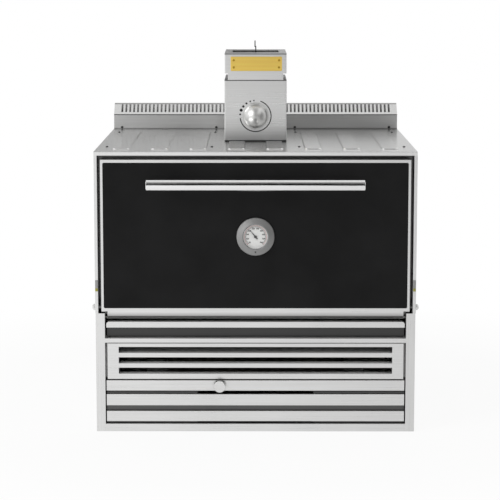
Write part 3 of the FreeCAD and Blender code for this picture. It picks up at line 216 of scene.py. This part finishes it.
# The solids that wear each material
NODE_LOOKS = {
    "steel_across": ["draught_slide"],
    "steel_door": ["door_frame"],
    "steel_flue": ["flue_box"],
    "steel_collar": ["flue_collar"],
    "steel_rear": ["rear_upstand"],
    "steel_frame": ["front_frame"],
    "steel_surround": ["front_surround"],
    "steel_grille": ["vent_grille"],
    "steel_ash": ["ash_drawer_front"],
    "steel_grease": ["grease_drawer_front"],
    "steel_pin_shade": ["hinge_pins"],
    "steel_side": ["side_panel_left", "side_panel_right"],
    "steel_upright": ["back_panel"],
    "steel_top": ["top_plate"],
    "steel_inner": ["base_plate", "deck_plate", "drawer_runners", "draught_guides", "ash_drawer_pan",
                    "grease_drawer_pan", "door_liner", "rack_ladders", "grill_rack_lower",
                    "grill_rack_upper", "spark_arrestor"],
    "steel_handle": ["handle_bar", "handle_posts"],
    "steel_bezel": ["thermometer_bezel"],
    "steel_damper": ["damper_knob"],
    "steel_pull": ["draught_knob"],
    "steel_hardware": ["damper_shaft", "thermometer_stem", "thermometer_nut"],
    "steel_nut": ["hinge_nuts"],
    "steel_screw": ["casing_screws"],
    "steel_catch": ["door_catches"],
    "brass_pad": ["catch_pads"],
    "brass": ["brass_plate", "hinge_bushes", "damper_bushes"],
    "plate_screw": ["plate_screws"],
    "door_black": ["door_panel"],
    "dial_white": ["thermometer_dial"],
    "print_black": ["thermometer_needle"],
    "iron": ["charcoal_grate", "arrestor_eye"],
    "firebox": ["firebox_walls", "firebox_floor", "firebox_roof", "flue_throat", "ash_chute", "grate_rests",
                "damper_plate"],
    "blanket": ["floor_board", "insulation_wrap", "insulation_rear", "door_insulation"],
    "rope": ["door_seal"],
    "glass": ["thermometer_lens"],
}


# Places taken from the solids

def middle_of(box):
    return [(low + high) / 2 for low, high in zip(*box)]


dial_centre = middle_of(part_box("thermometer_dial"))
dial_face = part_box("thermometer_dial")[0][1]
needle_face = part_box("thermometer_needle")[0][1]
damper_centre = middle_of(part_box("damper_knob"))
knob_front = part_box("draught_knob")[0][1]
flue_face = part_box("flue_box")[0][1]
flue_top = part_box("flue_box")[1][2]
hood_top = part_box("flue_collar")[1][2]
strip_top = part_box("rear_upstand")[1][2]
strip_fold = strip_top - STRIP_RISE
seal_low, seal_high = (Vector(corner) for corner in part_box("door_seal"))


# Small helpers for node trees

def socket_node(tree, kind, values=None, **settings):
    """A new shader node of a kind, with values for its inputs and with its other settings."""
    item = tree.nodes.new("ShaderNode" + kind)
    for name, value in settings.items():
        setattr(item, name, value)
    for name, value in (values or {}).items():
        item.inputs[name].default_value = value
    return item


def new_material(name, colour, roughness, metallic=0.0):
    """A plain material, with its tree and its shader."""
    material = bpy.data.materials.new(name)
    material.use_nodes = True
    tree = material.node_tree
    shader = tree.nodes["Principled BSDF"]
    shader.inputs["Base Color"].default_value = (*colour, 1)
    shader.inputs["Roughness"].default_value = roughness
    shader.inputs["Metallic"].default_value = metallic
    return material, tree, shader


def object_place(tree):
    """Where a point lies on its piece, in metres."""
    return socket_node(tree, "TexCoord").outputs["Object"]


def axis_value(tree, place, axis):
    split = socket_node(tree, "SeparateXYZ")
    tree.links.new(place, split.inputs[0])
    return split.outputs[axis]


def noise(tree, place, scale, detail=3.0, stretch=EVEN):
    """Noise with about scale features per metre, drawn out along the axes with a small stretch."""
    mapping = socket_node(tree, "Mapping", {"Scale": [scale * part for part in stretch]})
    tree.links.new(place, mapping.inputs["Vector"])
    texture = socket_node(tree, "TexNoise", {"Scale": 1.0, "Detail": detail})
    tree.links.new(mapping.outputs["Vector"], texture.inputs["Vector"])
    return texture.outputs["Fac"]


def ranged(tree, value, low=0.0, high=1.0, start=NOISE_LOW, end=NOISE_HIGH):
    """A value that goes from low to high as the given one goes from start to end."""
    item = socket_node(tree, "MapRange", {"From Min": start, "From Max": end, "To Min": low, "To Max": high})
    tree.links.new(value, item.inputs["Value"])
    return item.outputs["Result"]


def math_node(tree, operation, first, second=None):
    """The result for one or two values, each a number or a socket."""
    item = socket_node(tree, "Math", operation=operation)
    for index, value in enumerate((first, second)):
        if value is None:
            continue
        if isinstance(value, (int, float)):
            item.inputs[index].default_value = value
        else:
            tree.links.new(value, item.inputs[index])
    return item.outputs["Value"]


def weighed(tree, first, second, share):
    """A share of the first value, with the rest of the second."""
    main = math_node(tree, "MULTIPLY", first, share)
    rest = math_node(tree, "MULTIPLY", second, 1 - share)
    return math_node(tree, "ADD", main, rest)


def blended(tree, factor, first, second):
    """Colour between first and second, each a colour or a socket."""
    item = socket_node(tree, "Mix", data_type="RGBA")
    tree.links.new(factor, item.inputs[MIX_FACTOR])
    for index, value in zip(MIX_COLOURS, (first, second)):
        if isinstance(value, tuple):
            item.inputs[index].default_value = (*value, 1)
        else:
            tree.links.new(value, item.inputs[index])
    return item.outputs[MIX_RESULT]


def shaded(colour, factor):
    return tuple(part * factor for part in colour)


def varied(tree, factor, colour, darkest, lightest):
    """Shades of a colour that follow a noise, from the darkest share of it to the lightest."""
    return blended(tree, ranged(tree, factor), shaded(colour, darkest), shaded(colour, lightest))


def set_colour(tree, shader, tone):
    tree.links.new(tone, shader.inputs["Base Color"])


def set_roughness(tree, shader, factor, smoothest, roughest):
    """Roughness that follows a noise between two values."""
    tree.links.new(ranged(tree, factor, smoothest, roughest), shader.inputs["Roughness"])


def add_bump(tree, shader, height, strength, distance):
    item = socket_node(tree, "Bump", {"Strength": strength, "Distance": distance})
    tree.links.new(height, item.inputs["Height"])
    tree.links.new(item.outputs["Normal"], shader.inputs["Normal"])


# Tones of a sheet: painted shade and painted light that change with the place on the piece

def past(axis, level, share):
    """A tone that changes at once at a level."""
    return (axis, level, level + TONE_STEP, share)


def fading(axis, levels, share):
    """A tone that changes little by little between two levels."""
    return (axis, *levels, share)


def tone_factor(tree, place, tone):
    """1 before the first level of a tone, and its share past the last."""
    axis, first, last, share = tone
    return ranged(tree, axis_value(tree, place, axis), 1.0, share, first, last)


def toned(tree, place, colour, tones):
    """The colour of a sheet, scaled by each of its tones in turn."""
    for tone in tones:
        scaled = socket_node(tree, "VectorMath", operation="SCALE")
        tree.links.new(colour, scaled.inputs[0])
        tree.links.new(tone_factor(tree, place, tone), scaled.inputs["Scale"])
        colour = scaled.outputs["Vector"]
    return colour


def with_upright_posts(tree, place, across, grain, half):
    """Streaks that run across as far out as a half width, and upright further out."""
    upright = noise(tree, place, grain, STREAK_DETAIL, STREAK_Z)
    distance = math_node(tree, "ABSOLUTE", axis_value(tree, place, "X"))
    outer = math_node(tree, "GREATER_THAN", distance, half)
    inner = math_node(tree, "SUBTRACT", 1.0, outer)
    kept = math_node(tree, "MULTIPLY", across, inner)
    added = math_node(tree, "MULTIPLY", upright, outer)
    return math_node(tree, "ADD", kept, added)


# Materials

def brushed_metal(name, colour=STEEL, roughness=SHEET_ROUGHNESS, stretch=STREAK_X, grain=SHEET_GRAIN,
                  spread=0.07, posts=None, tones=(), matt=None, relief=0.06, unrest=1.0):
    """Brushed sheet.

    With posts, the brushing turns upright further out than that half width. Each of tones is an axis, two
    levels and a share: between the levels the tone goes over to that share of it, as painted shade in a
    recess, under a lip or along an edge, or as a painted lighter band. Of the same form, matt says where and
    how far the sheet loses its shine.
    With a small unrest its gloss is even.
    """
    material, tree, shader = new_material(name, colour, roughness, metallic=1.0)
    place = object_place(tree)
    streak = noise(tree, place, grain, STREAK_DETAIL, stretch)
    if posts:
        streak = with_upright_posts(tree, place, streak, grain, posts)
    smudge = noise(tree, place, scale=5.0, detail=4.0)
    mixed = weighed(tree, streak, smudge, STREAK_SHARE)
    tone = varied(tree, mixed, colour, 1 - spread, 1 + spread)
    set_colour(tree, shader, toned(tree, place, tone, tones))
    if matt:
        tree.links.new(tone_factor(tree, place, matt), shader.inputs["Metallic"])
    smoothest = roughness * (1 - SMOOTHER * unrest)
    roughest = roughness * (1 + ROUGHER * unrest)
    set_roughness(tree, shader, mixed, smoothest, roughest)
    add_bump(tree, shader, streak, relief, STREAK_DEPTH)
    return material


def distance_from_axis(tree, place, centre):
    """How far a point is from the Y axis through centre, as the X of a vector."""
    shift = socket_node(tree, "VectorMath", operation="SUBTRACT")
    tree.links.new(place, shift.inputs[0])
    shift.inputs[1].default_value = centre
    flat = socket_node(tree, "VectorMath", operation="MULTIPLY")
    tree.links.new(shift.outputs["Vector"], flat.inputs[0])
    flat.inputs[1].default_value = (1, 0, 1)
    length = socket_node(tree, "VectorMath", operation="LENGTH")
    tree.links.new(flat.outputs["Vector"], length.inputs[0])
    radius = socket_node(tree, "CombineXYZ")
    tree.links.new(length.outputs["Value"], radius.inputs["X"])
    return radius.outputs["Vector"]


def turned_metal(name, colour, roughness, centre, rings=1500.0, relief=0.05):
    """Metal turned about the Y axis through centre, with fine rings round it."""
    material, tree, shader = new_material(name, colour, roughness, metallic=1.0)
    place = object_place(tree)
    ring = noise(tree, distance_from_axis(tree, place, centre), rings)
    smudge = noise(tree, place, scale=40.0)
    mixed = weighed(tree, ring, smudge, share=0.7)
    set_colour(tree, shader, varied(tree, mixed, colour, darkest=0.9, lightest=1.06))
    set_roughness(tree, shader, mixed, smoothest=roughness * 0.75, roughest=roughness * 1.3)
    add_bump(tree, shader, ring, relief, distance=0.0002)
    return material


def coated(name, colour, roughness, specular, grain=1500.0, spread=0.25, depth=0.0002, strength=0.25):
    """A fine textured coating with faint blotches."""
    material, tree, shader = new_material(name, colour, roughness)
    shader.inputs["Specular IOR Level"].default_value = specular
    place = object_place(tree)
    fine = noise(tree, place, grain, detail=2.0)
    broad = noise(tree, place, scale=9.0, detail=4.0)
    set_colour(tree, shader, varied(tree, broad, colour, 1 - spread, 1 + spread))
    set_roughness(tree, shader, fine, smoothest=roughness * 0.9, roughest=roughness * 1.12)
    add_bump(tree, shader, fine, strength, depth)
    return material


def heat_darkened(name):
    """Bare thick steel that fire has darkened, with brown patches and soot."""
    material, tree, shader = new_material(name, BURNT_GREY, roughness=0.6, metallic=0.6)
    place = object_place(tree)
    patches = noise(tree, place, scale=11.0, detail=6.0)
    soot = noise(tree, place, scale=60.0, detail=5.0)
    tint = blended(tree, ranged(tree, patches), BURNT_GREY, BURNT_BROWN)
    set_colour(tree, shader, blended(tree, ranged(tree, soot, high=0.6), tint, SOOT))
    set_roughness(tree, shader, soot, smoothest=0.5, roughest=0.75)
    add_bump(tree, shader, soot, strength=0.2, distance=0.0006)
    return material


def woven_rope(name):
    """Dark glass rope: fine fibres over the strands, and dust."""
    material, tree, shader = new_material(name, ROPE_GREY, roughness=0.85)
    shader.inputs["Sheen Weight"].default_value = 0.2
    place = object_place(tree)
    fibres = noise(tree, place, scale=1600.0)
    dust = noise(tree, place, scale=35.0, detail=4.0)
    set_colour(tree, shader, varied(tree, dust, ROPE_GREY, darkest=0.65, lightest=1.5))
    set_roughness(tree, shader, fibres, smoothest=0.75, roughest=0.95)
    add_bump(tree, shader, fibres, strength=0.5, distance=0.0004)
    return material


def fibre_blanket(name):
    """Pale mineral fibre with small tufts."""
    material, tree, shader = new_material(name, BLANKET_PALE, roughness=0.95)
    tufts = noise(tree, object_place(tree), scale=260.0, detail=5.0)
    set_colour(tree, shader, varied(tree, tufts, BLANKET_PALE, darkest=0.86, lightest=1.0))
    set_roughness(tree, shader, tufts, smoothest=0.85, roughest=1.0)
    add_bump(tree, shader, tufts, strength=0.5, distance=0.002)
    return material


def clear_glass(name):
    """Thin flat glass, mostly see-through, with faint wiping marks in its gloss."""
    material, tree, shader = new_material(name, GLASS_CLEAR, roughness=0.02)
    shader.inputs["Alpha"].default_value = 0.05
    shader.inputs["IOR"].default_value = 1.45
    wiped = noise(tree, object_place(tree), scale=70.0, detail=4.0)
    set_roughness(tree, shader, wiped, smoothest=0.005, roughest=0.04)
    return material


SMALL = dict(stretch=EVEN, grain=SMALL_GRAIN)
# Painted shade on the flue box: a darker top edge, a painted contact shadow line at its foot on the top
# plate, and a soft painted shade towards the foot
FLUE_SHADE_TONES = [
    past("Z", flue_top - FLUE_TOP_SHADE_DEPTH, share=0.2),
    fading("Z", FLUE_FOOT_SHADOW_LINE_Z, share=0.15),
    fading("Z", FLUE_FOOT_SHADE_Z, share=0.64),
]
# Painted light and shade on the rear upstand: a painted shadow line at its foot and at the strip's fold, the
# leaning strip painted lighter, and a painted shadow line along the strip's top edge
REAR_LIGHT_AND_SHADE_TONES = [
    fading("Z", REAR_FOOT_SHADOW_LINE_Z, share=0.5),
    past("Z", strip_fold - FOLD_SHADOW_HEIGHT - TONE_STEP, FOLD_SHADOW_SHARE),
    past("Z", strip_fold, STRIP_PAINTED_LIGHT / FOLD_SHADOW_SHARE),
    past("Z", strip_top - STRIP_TOP_SHADE_DEPTH, share=0.55),
]

BRUSHED = {
    "steel_across": {},
    # Painted shade: the frame's inner returns behind its front skin are darker, as shade in the recess, and
    # also lose their shine
    "steel_frame": dict(posts=POST_HALF, tones=[past("Y", FRAME_SHADE_AND_MATT_Y, share=0.5)],
                        matt=past("Y", FRAME_SHADE_AND_MATT_Y, share=0.0)),
    # Painted shade: the surround's recess round the door is darker behind its front skin
    "steel_surround": dict(posts=POST_HALF, tones=[past("Y", SURROUND_RECESS_SHADE_Y, share=0.21)]),
    "steel_grille": dict(matt=past("Y", GRILLE_SKIN_Y, share=0.0)),
    # Painted shade: the ash drawer's back plate between its bars is darker, as shade in the channel
    "steel_ash": dict(tones=[past("Y", ASH_CHANNEL_SHADE_Y, share=0.15)]),
    # Painted shade: the grease drawer's wall behind its lip is darker, as the lip's shadow
    "steel_grease": dict(tones=[past("Y", GREASE_UNDER_LIP_SHADE_Y, share=0.09)]),
    # Painted shade: the door's rolled bottom edge darkens towards its underside
    "steel_door": dict(tones=[fading("Z", DOOR_ROLL_SHADE_Z, share=0.42)]),
    "steel_side": dict(roughness=0.32, stretch=STREAK_Y),
    "steel_upright": dict(stretch=STREAK_Z),
    "steel_top": dict(roughness=0.21, stretch=STREAK_Y, spread=0.012, relief=0.003, unrest=0.2),
    "steel_flue": dict(tones=FLUE_SHADE_TONES),
    # Painted shade: the collar is darker at its top, as a shadow line along the hood's top edge
    "steel_collar": dict(colour=HOOD_STEEL, tones=[past("Z", hood_top - HOOD_TOP_SHADE_DEPTH, share=0.42)]),
    "steel_rear": dict(colour=REAR_SHADED_STEEL, roughness=0.36, tones=REAR_LIGHT_AND_SHADE_TONES),
    "steel_pin_shade": dict(colour=PIN_SHADE_STEEL, roughness=0.4, **SMALL),
    "steel_inner": dict(colour=INNER_STEEL, roughness=0.45, grain=INNER_GRAIN, spread=0.12),
    "steel_handle": dict(colour=HANDLE_STEEL, roughness=0.15, grain=BAR_GRAIN, spread=0.04),
    # Painted shade: the draught knob is darker behind its front face, on its sides
    "steel_pull": dict(roughness=0.24, stretch=EVEN, grain=BAR_GRAIN,
                       tones=[past("Y", knob_front + KNOB_SIDE_SHADE_DEPTH, share=0.45)]),
    "steel_hardware": dict(colour=HARDWARE_STEEL, roughness=0.28, **SMALL),
    "steel_nut": dict(colour=NUT_STEEL, **SMALL),
    "steel_screw": dict(colour=SCREW_STEEL, **SMALL),
    "steel_catch": dict(colour=CATCH_STEEL, roughness=0.35, stretch=STREAK_Z, grain=SMALL_GRAIN),
    "brass_pad": dict(colour=PAD_BRASS, roughness=0.4, spread=0.15, **SMALL),
    "brass": dict(colour=BRASS, roughness=0.32, spread=0.1),
    "plate_screw": dict(colour=SCREW_BRASS, roughness=0.4, **SMALL),
}
TURNED = {
    "steel_bezel": dict(colour=BEZEL_SHADED_STEEL, roughness=0.58, centre=dial_centre),
    "steel_damper": dict(colour=DAMPER_STEEL, roughness=0.38, centre=damper_centre, relief=0.01),
}
COATED = {
    "door_black": dict(colour=DOOR_BLACK, roughness=0.42, specular=0.12),
    "dial_white": dict(colour=DIAL_WHITE, roughness=0.5, specular=0.4, spread=0.03, strength=0.05),
    "print_black": dict(colour=PRINT_BLACK, roughness=0.5, specular=0.15),
    "print_red": dict(colour=PRINT_RED, roughness=0.5, specular=0.3),
    "iron": dict(colour=IRON, roughness=0.62, specular=0.4, grain=520.0, depth=0.0008, strength=0.6),
}

looks = {name: brushed_metal(name, **settings) for name, settings in BRUSHED.items()}
looks.update({name: turned_metal(name, **settings) for name, settings in TURNED.items()})
looks.update({name: coated(name, **settings) for name, settings in COATED.items()})
looks["firebox"] = heat_darkened("firebox")
looks["rope"] = woven_rope("rope")
looks["blanket"] = fibre_blanket("blanket")
looks["glass"] = clear_glass("glass")


def dress(thing, look):
    """Give a piece one material in place of those it has."""
    thing.data.materials.clear()
    thing.data.materials.append(looks[look])


for look, nodes in NODE_LOOKS.items():
    for name in nodes:
        dress(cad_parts[name], look)


# Mesh helpers

def mesh_object(name, builder, look, body, smooth=False):
    """Make a piece from what builder adds to a bmesh, and let it ride on a body."""
    mesh = bpy.data.meshes.new(name)
    work = bmesh.new()
    builder(work)
    bmesh.ops.recalc_face_normals(work, faces=work.faces)
    work.to_mesh(mesh)
    work.free()
    for face in mesh.polygons:
        face.use_smooth = smooth
    piece = bpy.data.objects.new(name, mesh)
    bpy.context.scene.collection.objects.link(piece)
    dress(piece, look)
    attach(piece, body)
    return piece


def add_plate(work, outline, y_back, thickness):
    """A thin closed plate from an outline of (x, z) points.

    Its back lies at y_back, and its face nearer the front.
    """
    back = [work.verts.new((x, y_back, z)) for x, z in outline]
    face = [work.verts.new((x, y_back - thickness, z)) for x, z in outline]
    work.faces.new(back)
    work.faces.new(list(reversed(face)))
    count = len(outline)
    for index in range(count):
        following = (index + 1) % count
        work.faces.new((back[index], face[index], face[following], back[following]))


def clock(centre, radius, angle):
    """A point at an angle in degrees clockwise from twelve o'clock, seen from the front."""
    turn = math.radians(angle)
    return (centre[0] + radius * math.sin(turn), centre[2] + radius * math.cos(turn))


def arc_outline(centre, inner, outer, start, end, steps):
    """Outline of a band between two radii, from one angle to another."""
    angles = [start + (end - start) * step / steps for step in range(steps + 1)]
    outside = [clock(centre, outer, angle) for angle in angles]
    inside = [clock(centre, inner, angle) for angle in reversed(angles)]
    return outside + inside


def dot_outline(middle, radius, sides):
    points = []
    for step in range(sides):
        turn = 2 * math.pi * step / sides
        points.append((middle[0] + radius * math.sin(turn), middle[1] + radius * math.cos(turn)))
    return points


# Printed scale of the thermometer, and the needle's cap

def scale_angle(share):
    """The angle of a mark at a share of the way along the scale."""
    return -SCALE_HALF_ANGLE + 2 * SCALE_HALF_ANGLE * share


def add_ticks(work, count, reach, half):
    inner, outer = reach
    for index in range(count):
        angle = scale_angle(index / (count - 1))
        outline = arc_outline(dial_centre, inner, outer, angle - half, angle + half, steps=1)
        add_plate(work, outline, dial_face, PRINT_THICKNESS)


def add_black_ticks(work):
    add_ticks(work, BLACK_TICKS, BLACK_TICK, BLACK_HALF_TURN)


def add_red_ticks(work):
    add_ticks(work, RED_TICKS, RED_TICK, RED_HALF_TURN)


def printed_number(text, angle):
    curve = bpy.data.curves.new("dial_number_" + text, "FONT")
    curve.body = text
    curve.size = NUMBER_HEIGHT
    curve.align_x = "CENTER"
    curve.align_y = "CENTER"
    curve.offset = NUMBER_WEIGHT
    curve.extrude = PRINT_THICKNESS / 2
    holder = bpy.data.objects.new("dial_number_" + text, curve)
    x, z = clock(dial_centre, NUMBER_RADIUS, angle)
    holder.location = (x, dial_face - PRINT_THICKNESS / 2, z)
    holder.rotation_euler = (math.pi / 2, 0, 0)
    bpy.context.scene.collection.objects.link(holder)
    dress(holder, "print_black")
    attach(holder, "door")


def add_needle_cap(work):
    hub = (dial_centre[0], dial_centre[2])
    outline = dot_outline(hub, NEEDLE_CAP_RADIUS, NEEDLE_CAP_SIDES)
    add_plate(work, outline, needle_face, NEEDLE_CAP_THICKNESS)


mesh_object("dial_black_ticks", add_black_ticks, "print_black", "door")
mesh_object("dial_red_ticks", add_red_ticks, "print_red", "door")
for index in range(NUMBER_COUNT):
    printed_number(str((index + 1) * NUMBER_STEP), scale_angle(index / (NUMBER_COUNT - 1)))
mesh_object("needle_cap", add_needle_cap, "print_black", "needle")


# Printed ring round the damper knob

def add_ring(work):
    inner = RING_RADIUS - RING_LINE / 2
    outer = RING_RADIUS + RING_LINE / 2
    line = arc_outline(damper_centre, inner, outer, RING_START, RING_END, RING_STEPS)
    add_plate(work, line, flue_face, PRINT_THICKNESS)
    for angle, size in RING_DOTS:
        middle = clock(damper_centre, RING_RADIUS, angle)
        add_plate(work, dot_outline(middle, size * RING_LINE, DOT_SIDES), flue_face, PRINT_THICKNESS)


mesh_object("damper_ring_print", add_ring, "print_black", "cabinet")


# Rope seal on the back of the door

def rounded_rectangle(half_width, low, high, corner):
    """Points round a closed rectangle in the XZ plane, with its first point again at the end."""
    upper = high - corner
    lower = low + corner
    outline = []
    for quarter, (side, centre_z) in enumerate(((1, upper), (-1, upper), (-1, lower), (1, lower))):
        centre_x = side * (half_width - corner)
        for step in range(CORNER_STEPS + 1):
            turn = math.radians(QUARTER_TURN * quarter + QUARTER_TURN * step / CORNER_STEPS)
            x = centre_x + corner * math.cos(turn)
            z = centre_z + corner * math.sin(turn)
            outline.append(Vector((x, 0, z)))
    outline.append(outline[0].copy())
    return outline


def evenly_spaced(outline, spacing):
    """Points along an outline about a spacing apart, and the outline's length."""
    lengths = [(b - a).length for a, b in zip(outline, outline[1:])]
    total = sum(lengths)
    count = int(total / spacing)
    points = []
    segment = 0
    passed = 0.0
    for index in range(count):
        place = total * index / count
        while passed + lengths[segment] < place:
            passed += lengths[segment]
            segment += 1
        share = (place - passed) / lengths[segment]
        points.append(outline[segment].lerp(outline[segment + 1], share))
    return points, total


def strand_centres(points, turns, strand):
    """The line of one strand, wound round the rope's own line."""
    sideways = ROPE_HALF_WIDTH - STRAND_RADIUS
    through = (seal_high.y - seal_low.y) / 2 - STRAND_RADIUS
    middle = Vector((0, (seal_low.y + seal_high.y) / 2, 0))
    count = len(points)
    centres = []
    for index in range(count):
        along = (points[(index + 1) % count] - points[index - 1]).normalized()
        outward = Vector((along.z, 0, -along.x))
        angle = 2 * math.pi * (turns * index / count + strand / STRANDS)
        offset = outward * (sideways * math.cos(angle))
        offset += Vector((0, 1, 0)) * (through * math.sin(angle))
        centres.append(points[index] + offset + middle)
    return centres


def tube_ring(work, centre, along, radius):
    """Corners of a tube's cross-section at one point of its line."""
    side = along.cross(Vector((0, 1, 0))).normalized()
    over = side.cross(along)
    ring = []
    for step in range(STRAND_SIDES):
        turn = 2 * math.pi * step / STRAND_SIDES
        place = centre + side * (radius * math.cos(turn)) + over * (radius * math.sin(turn))
        ring.append(work.verts.new(place))
    return ring


def add_closed_tube(work, centres, radius):
    count = len(centres)
    rings = []
    for index in range(count):
        along = (centres[(index + 1) % count] - centres[index - 1]).normalized()
        rings.append(tube_ring(work, centres[index], along, radius))
    for index in range(count):
        here = rings[index]
        there = rings[(index + 1) % count]
        for step in range(STRAND_SIDES):
            following = (step + 1) % STRAND_SIDES
            work.faces.new((here[step], there[step], there[following], here[following]))


def add_rope(work):
    low = seal_low.z + ROPE_HALF_WIDTH
    high = seal_high.z - ROPE_HALF_WIDTH
    outline = rounded_rectangle(seal_high.x - ROPE_HALF_WIDTH, low, high, ROPE_CORNER)
    points, total = evenly_spaced(outline, STRAND_PITCH / STRAND_STEPS)
    turns = round(total / STRAND_PITCH)
    for strand in range(STRANDS):
        add_closed_tube(work, strand_centres(points, turns, strand), STRAND_RADIUS)


rope = mesh_object("seal_rope", add_rope, "rope", "door", smooth=True)
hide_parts("door_seal")


# Floor, light and camera

def backdrop_share(tree, share):
    """Share for what the camera sees directly, in metal or through glass, and 0 for the rest."""
    rays = socket_node(tree, "LightPath")
    seen = math_node(tree, "MAXIMUM", rays.outputs["Is Camera Ray"], rays.outputs["Is Glossy Ray"])
    seen = math_node(tree, "MAXIMUM", seen, rays.outputs["Is Transmission Ray"])
    return math_node(tree, "MULTIPLY", seen, share)


def mix_shaders(tree, factor, first, second, output):
    mix = socket_node(tree, "MixShader")
    tree.links.new(factor, mix.inputs[0])
    tree.links.new(first.outputs[0], mix.inputs[1])
    tree.links.new(second.outputs[0], mix.inputs[2])
    tree.links.new(mix.outputs[0], output.inputs["Surface"])


def floor_brightness(tree, place):
    """1, but as metal shows the floor, less towards the right."""
    sheen = ranged(tree, axis_value(tree, place, "X"), *SHEEN_SHARE, *SHEEN_SPAN)
    in_metal = socket_node(tree, "LightPath").outputs["Is Glossy Ray"]
    dimmed = math_node(tree, "MULTIPLY", in_metal, math_node(tree, "SUBTRACT", 1.0, sheen))
    return math_node(tree, "SUBTRACT", 1.0, dimmed)


def floor_material():
    """Plain white, with some of a matt floor near the oven, so that its shadow shows."""
    material = bpy.data.materials.new("floor")
    material.use_nodes = True
    tree = material.node_tree
    tree.nodes.clear()
    place = object_place(tree)
    matt = socket_node(tree, "BsdfDiffuse", {"Color": FLOOR_COLOUR})
    white = socket_node(tree, "Emission", {"Color": WHITE})
    tree.links.new(floor_brightness(tree, place), white.inputs["Strength"])
    far = socket_node(tree, "VectorMath", operation="LENGTH")
    tree.links.new(place, far.inputs[0])
    share = ranged(tree, far.outputs["Value"], *FLOOR_WHITE, *FLOOR_FADE)
    output = socket_node(tree, "OutputMaterial")
    mix_shaders(tree, backdrop_share(tree, share), matt, white, output)
    return material


def make_floor():
    bpy.ops.mesh.primitive_plane_add(size=FLOOR_SIZE, location=(0, 0, 0))
    floor = bpy.context.object
    floor.name = "floor"
    floor.data.materials.append(floor_material())


def make_board(name, middle, width, height, grey, tilt=UPRIGHT, turn=0.0):
    """A board that shows in metal alone: the camera and the matt surfaces don't see it."""
    turned = (math.radians(tilt), 0, math.radians(turn))
    bpy.ops.mesh.primitive_plane_add(size=1.0, location=middle, rotation=turned)
    board = bpy.context.object
    board.name = name
    board.scale = (width, height, 1.0)
    material, _, shader = new_material(name, (grey, grey, grey), roughness=1.0)
    shader.inputs["Specular IOR Level"].default_value = 0.0
    board.data.materials.append(material)
    board.visible_camera = False
    board.visible_diffuse = False
    board.visible_shadow = False
    board.visible_transmission = False


def make_world():
    world = bpy.data.worlds.new("studio")
    bpy.context.scene.world = world
    world.use_nodes = True
    tree = world.node_tree
    tree.nodes.clear()
    soft = socket_node(tree, "Background", {"Color": WHITE, "Strength": AMBIENT})
    white = socket_node(tree, "Background", {"Color": WHITE, "Strength": 1.0})
    output = socket_node(tree, "OutputWorld")
    mix_shaders(tree, backdrop_share(tree, 1.0), soft, white, output)


def soft_light(name, place, size, watts, in_metal=True):
    lamp = bpy.data.lights.new(name, "AREA")
    lamp.shape = "SQUARE"
    lamp.size = size
    lamp.energy = watts
    holder = bpy.data.objects.new(name, lamp)
    holder.location = place
    holder.rotation_euler = (Vector(LAMP_AIM) - Vector(place)).to_track_quat("-Z", "Y").to_euler()
    holder.visible_glossy = in_metal
    bpy.context.scene.collection.objects.link(holder)


def make_camera():
    data = bpy.data.cameras.new("camera")
    data.lens = LENS
    data.sensor_fit = "HORIZONTAL"
    data.sensor_width = SENSOR
    camera = bpy.data.objects.new("camera", data)
    camera.location = CAMERA_PLACE
    camera.rotation_euler = (math.radians(90 - CAMERA_PITCH), 0, math.radians(CAMERA_YAW))
    bpy.context.scene.collection.objects.link(camera)
    bpy.context.scene.camera = camera


make_floor()
for board in BOARDS:
    make_board(**board)
make_world()
for lamp in LAMPS:
    soft_light(**lamp)
make_camera()

bpy.context.scene.view_settings.view_transform = "Standard"
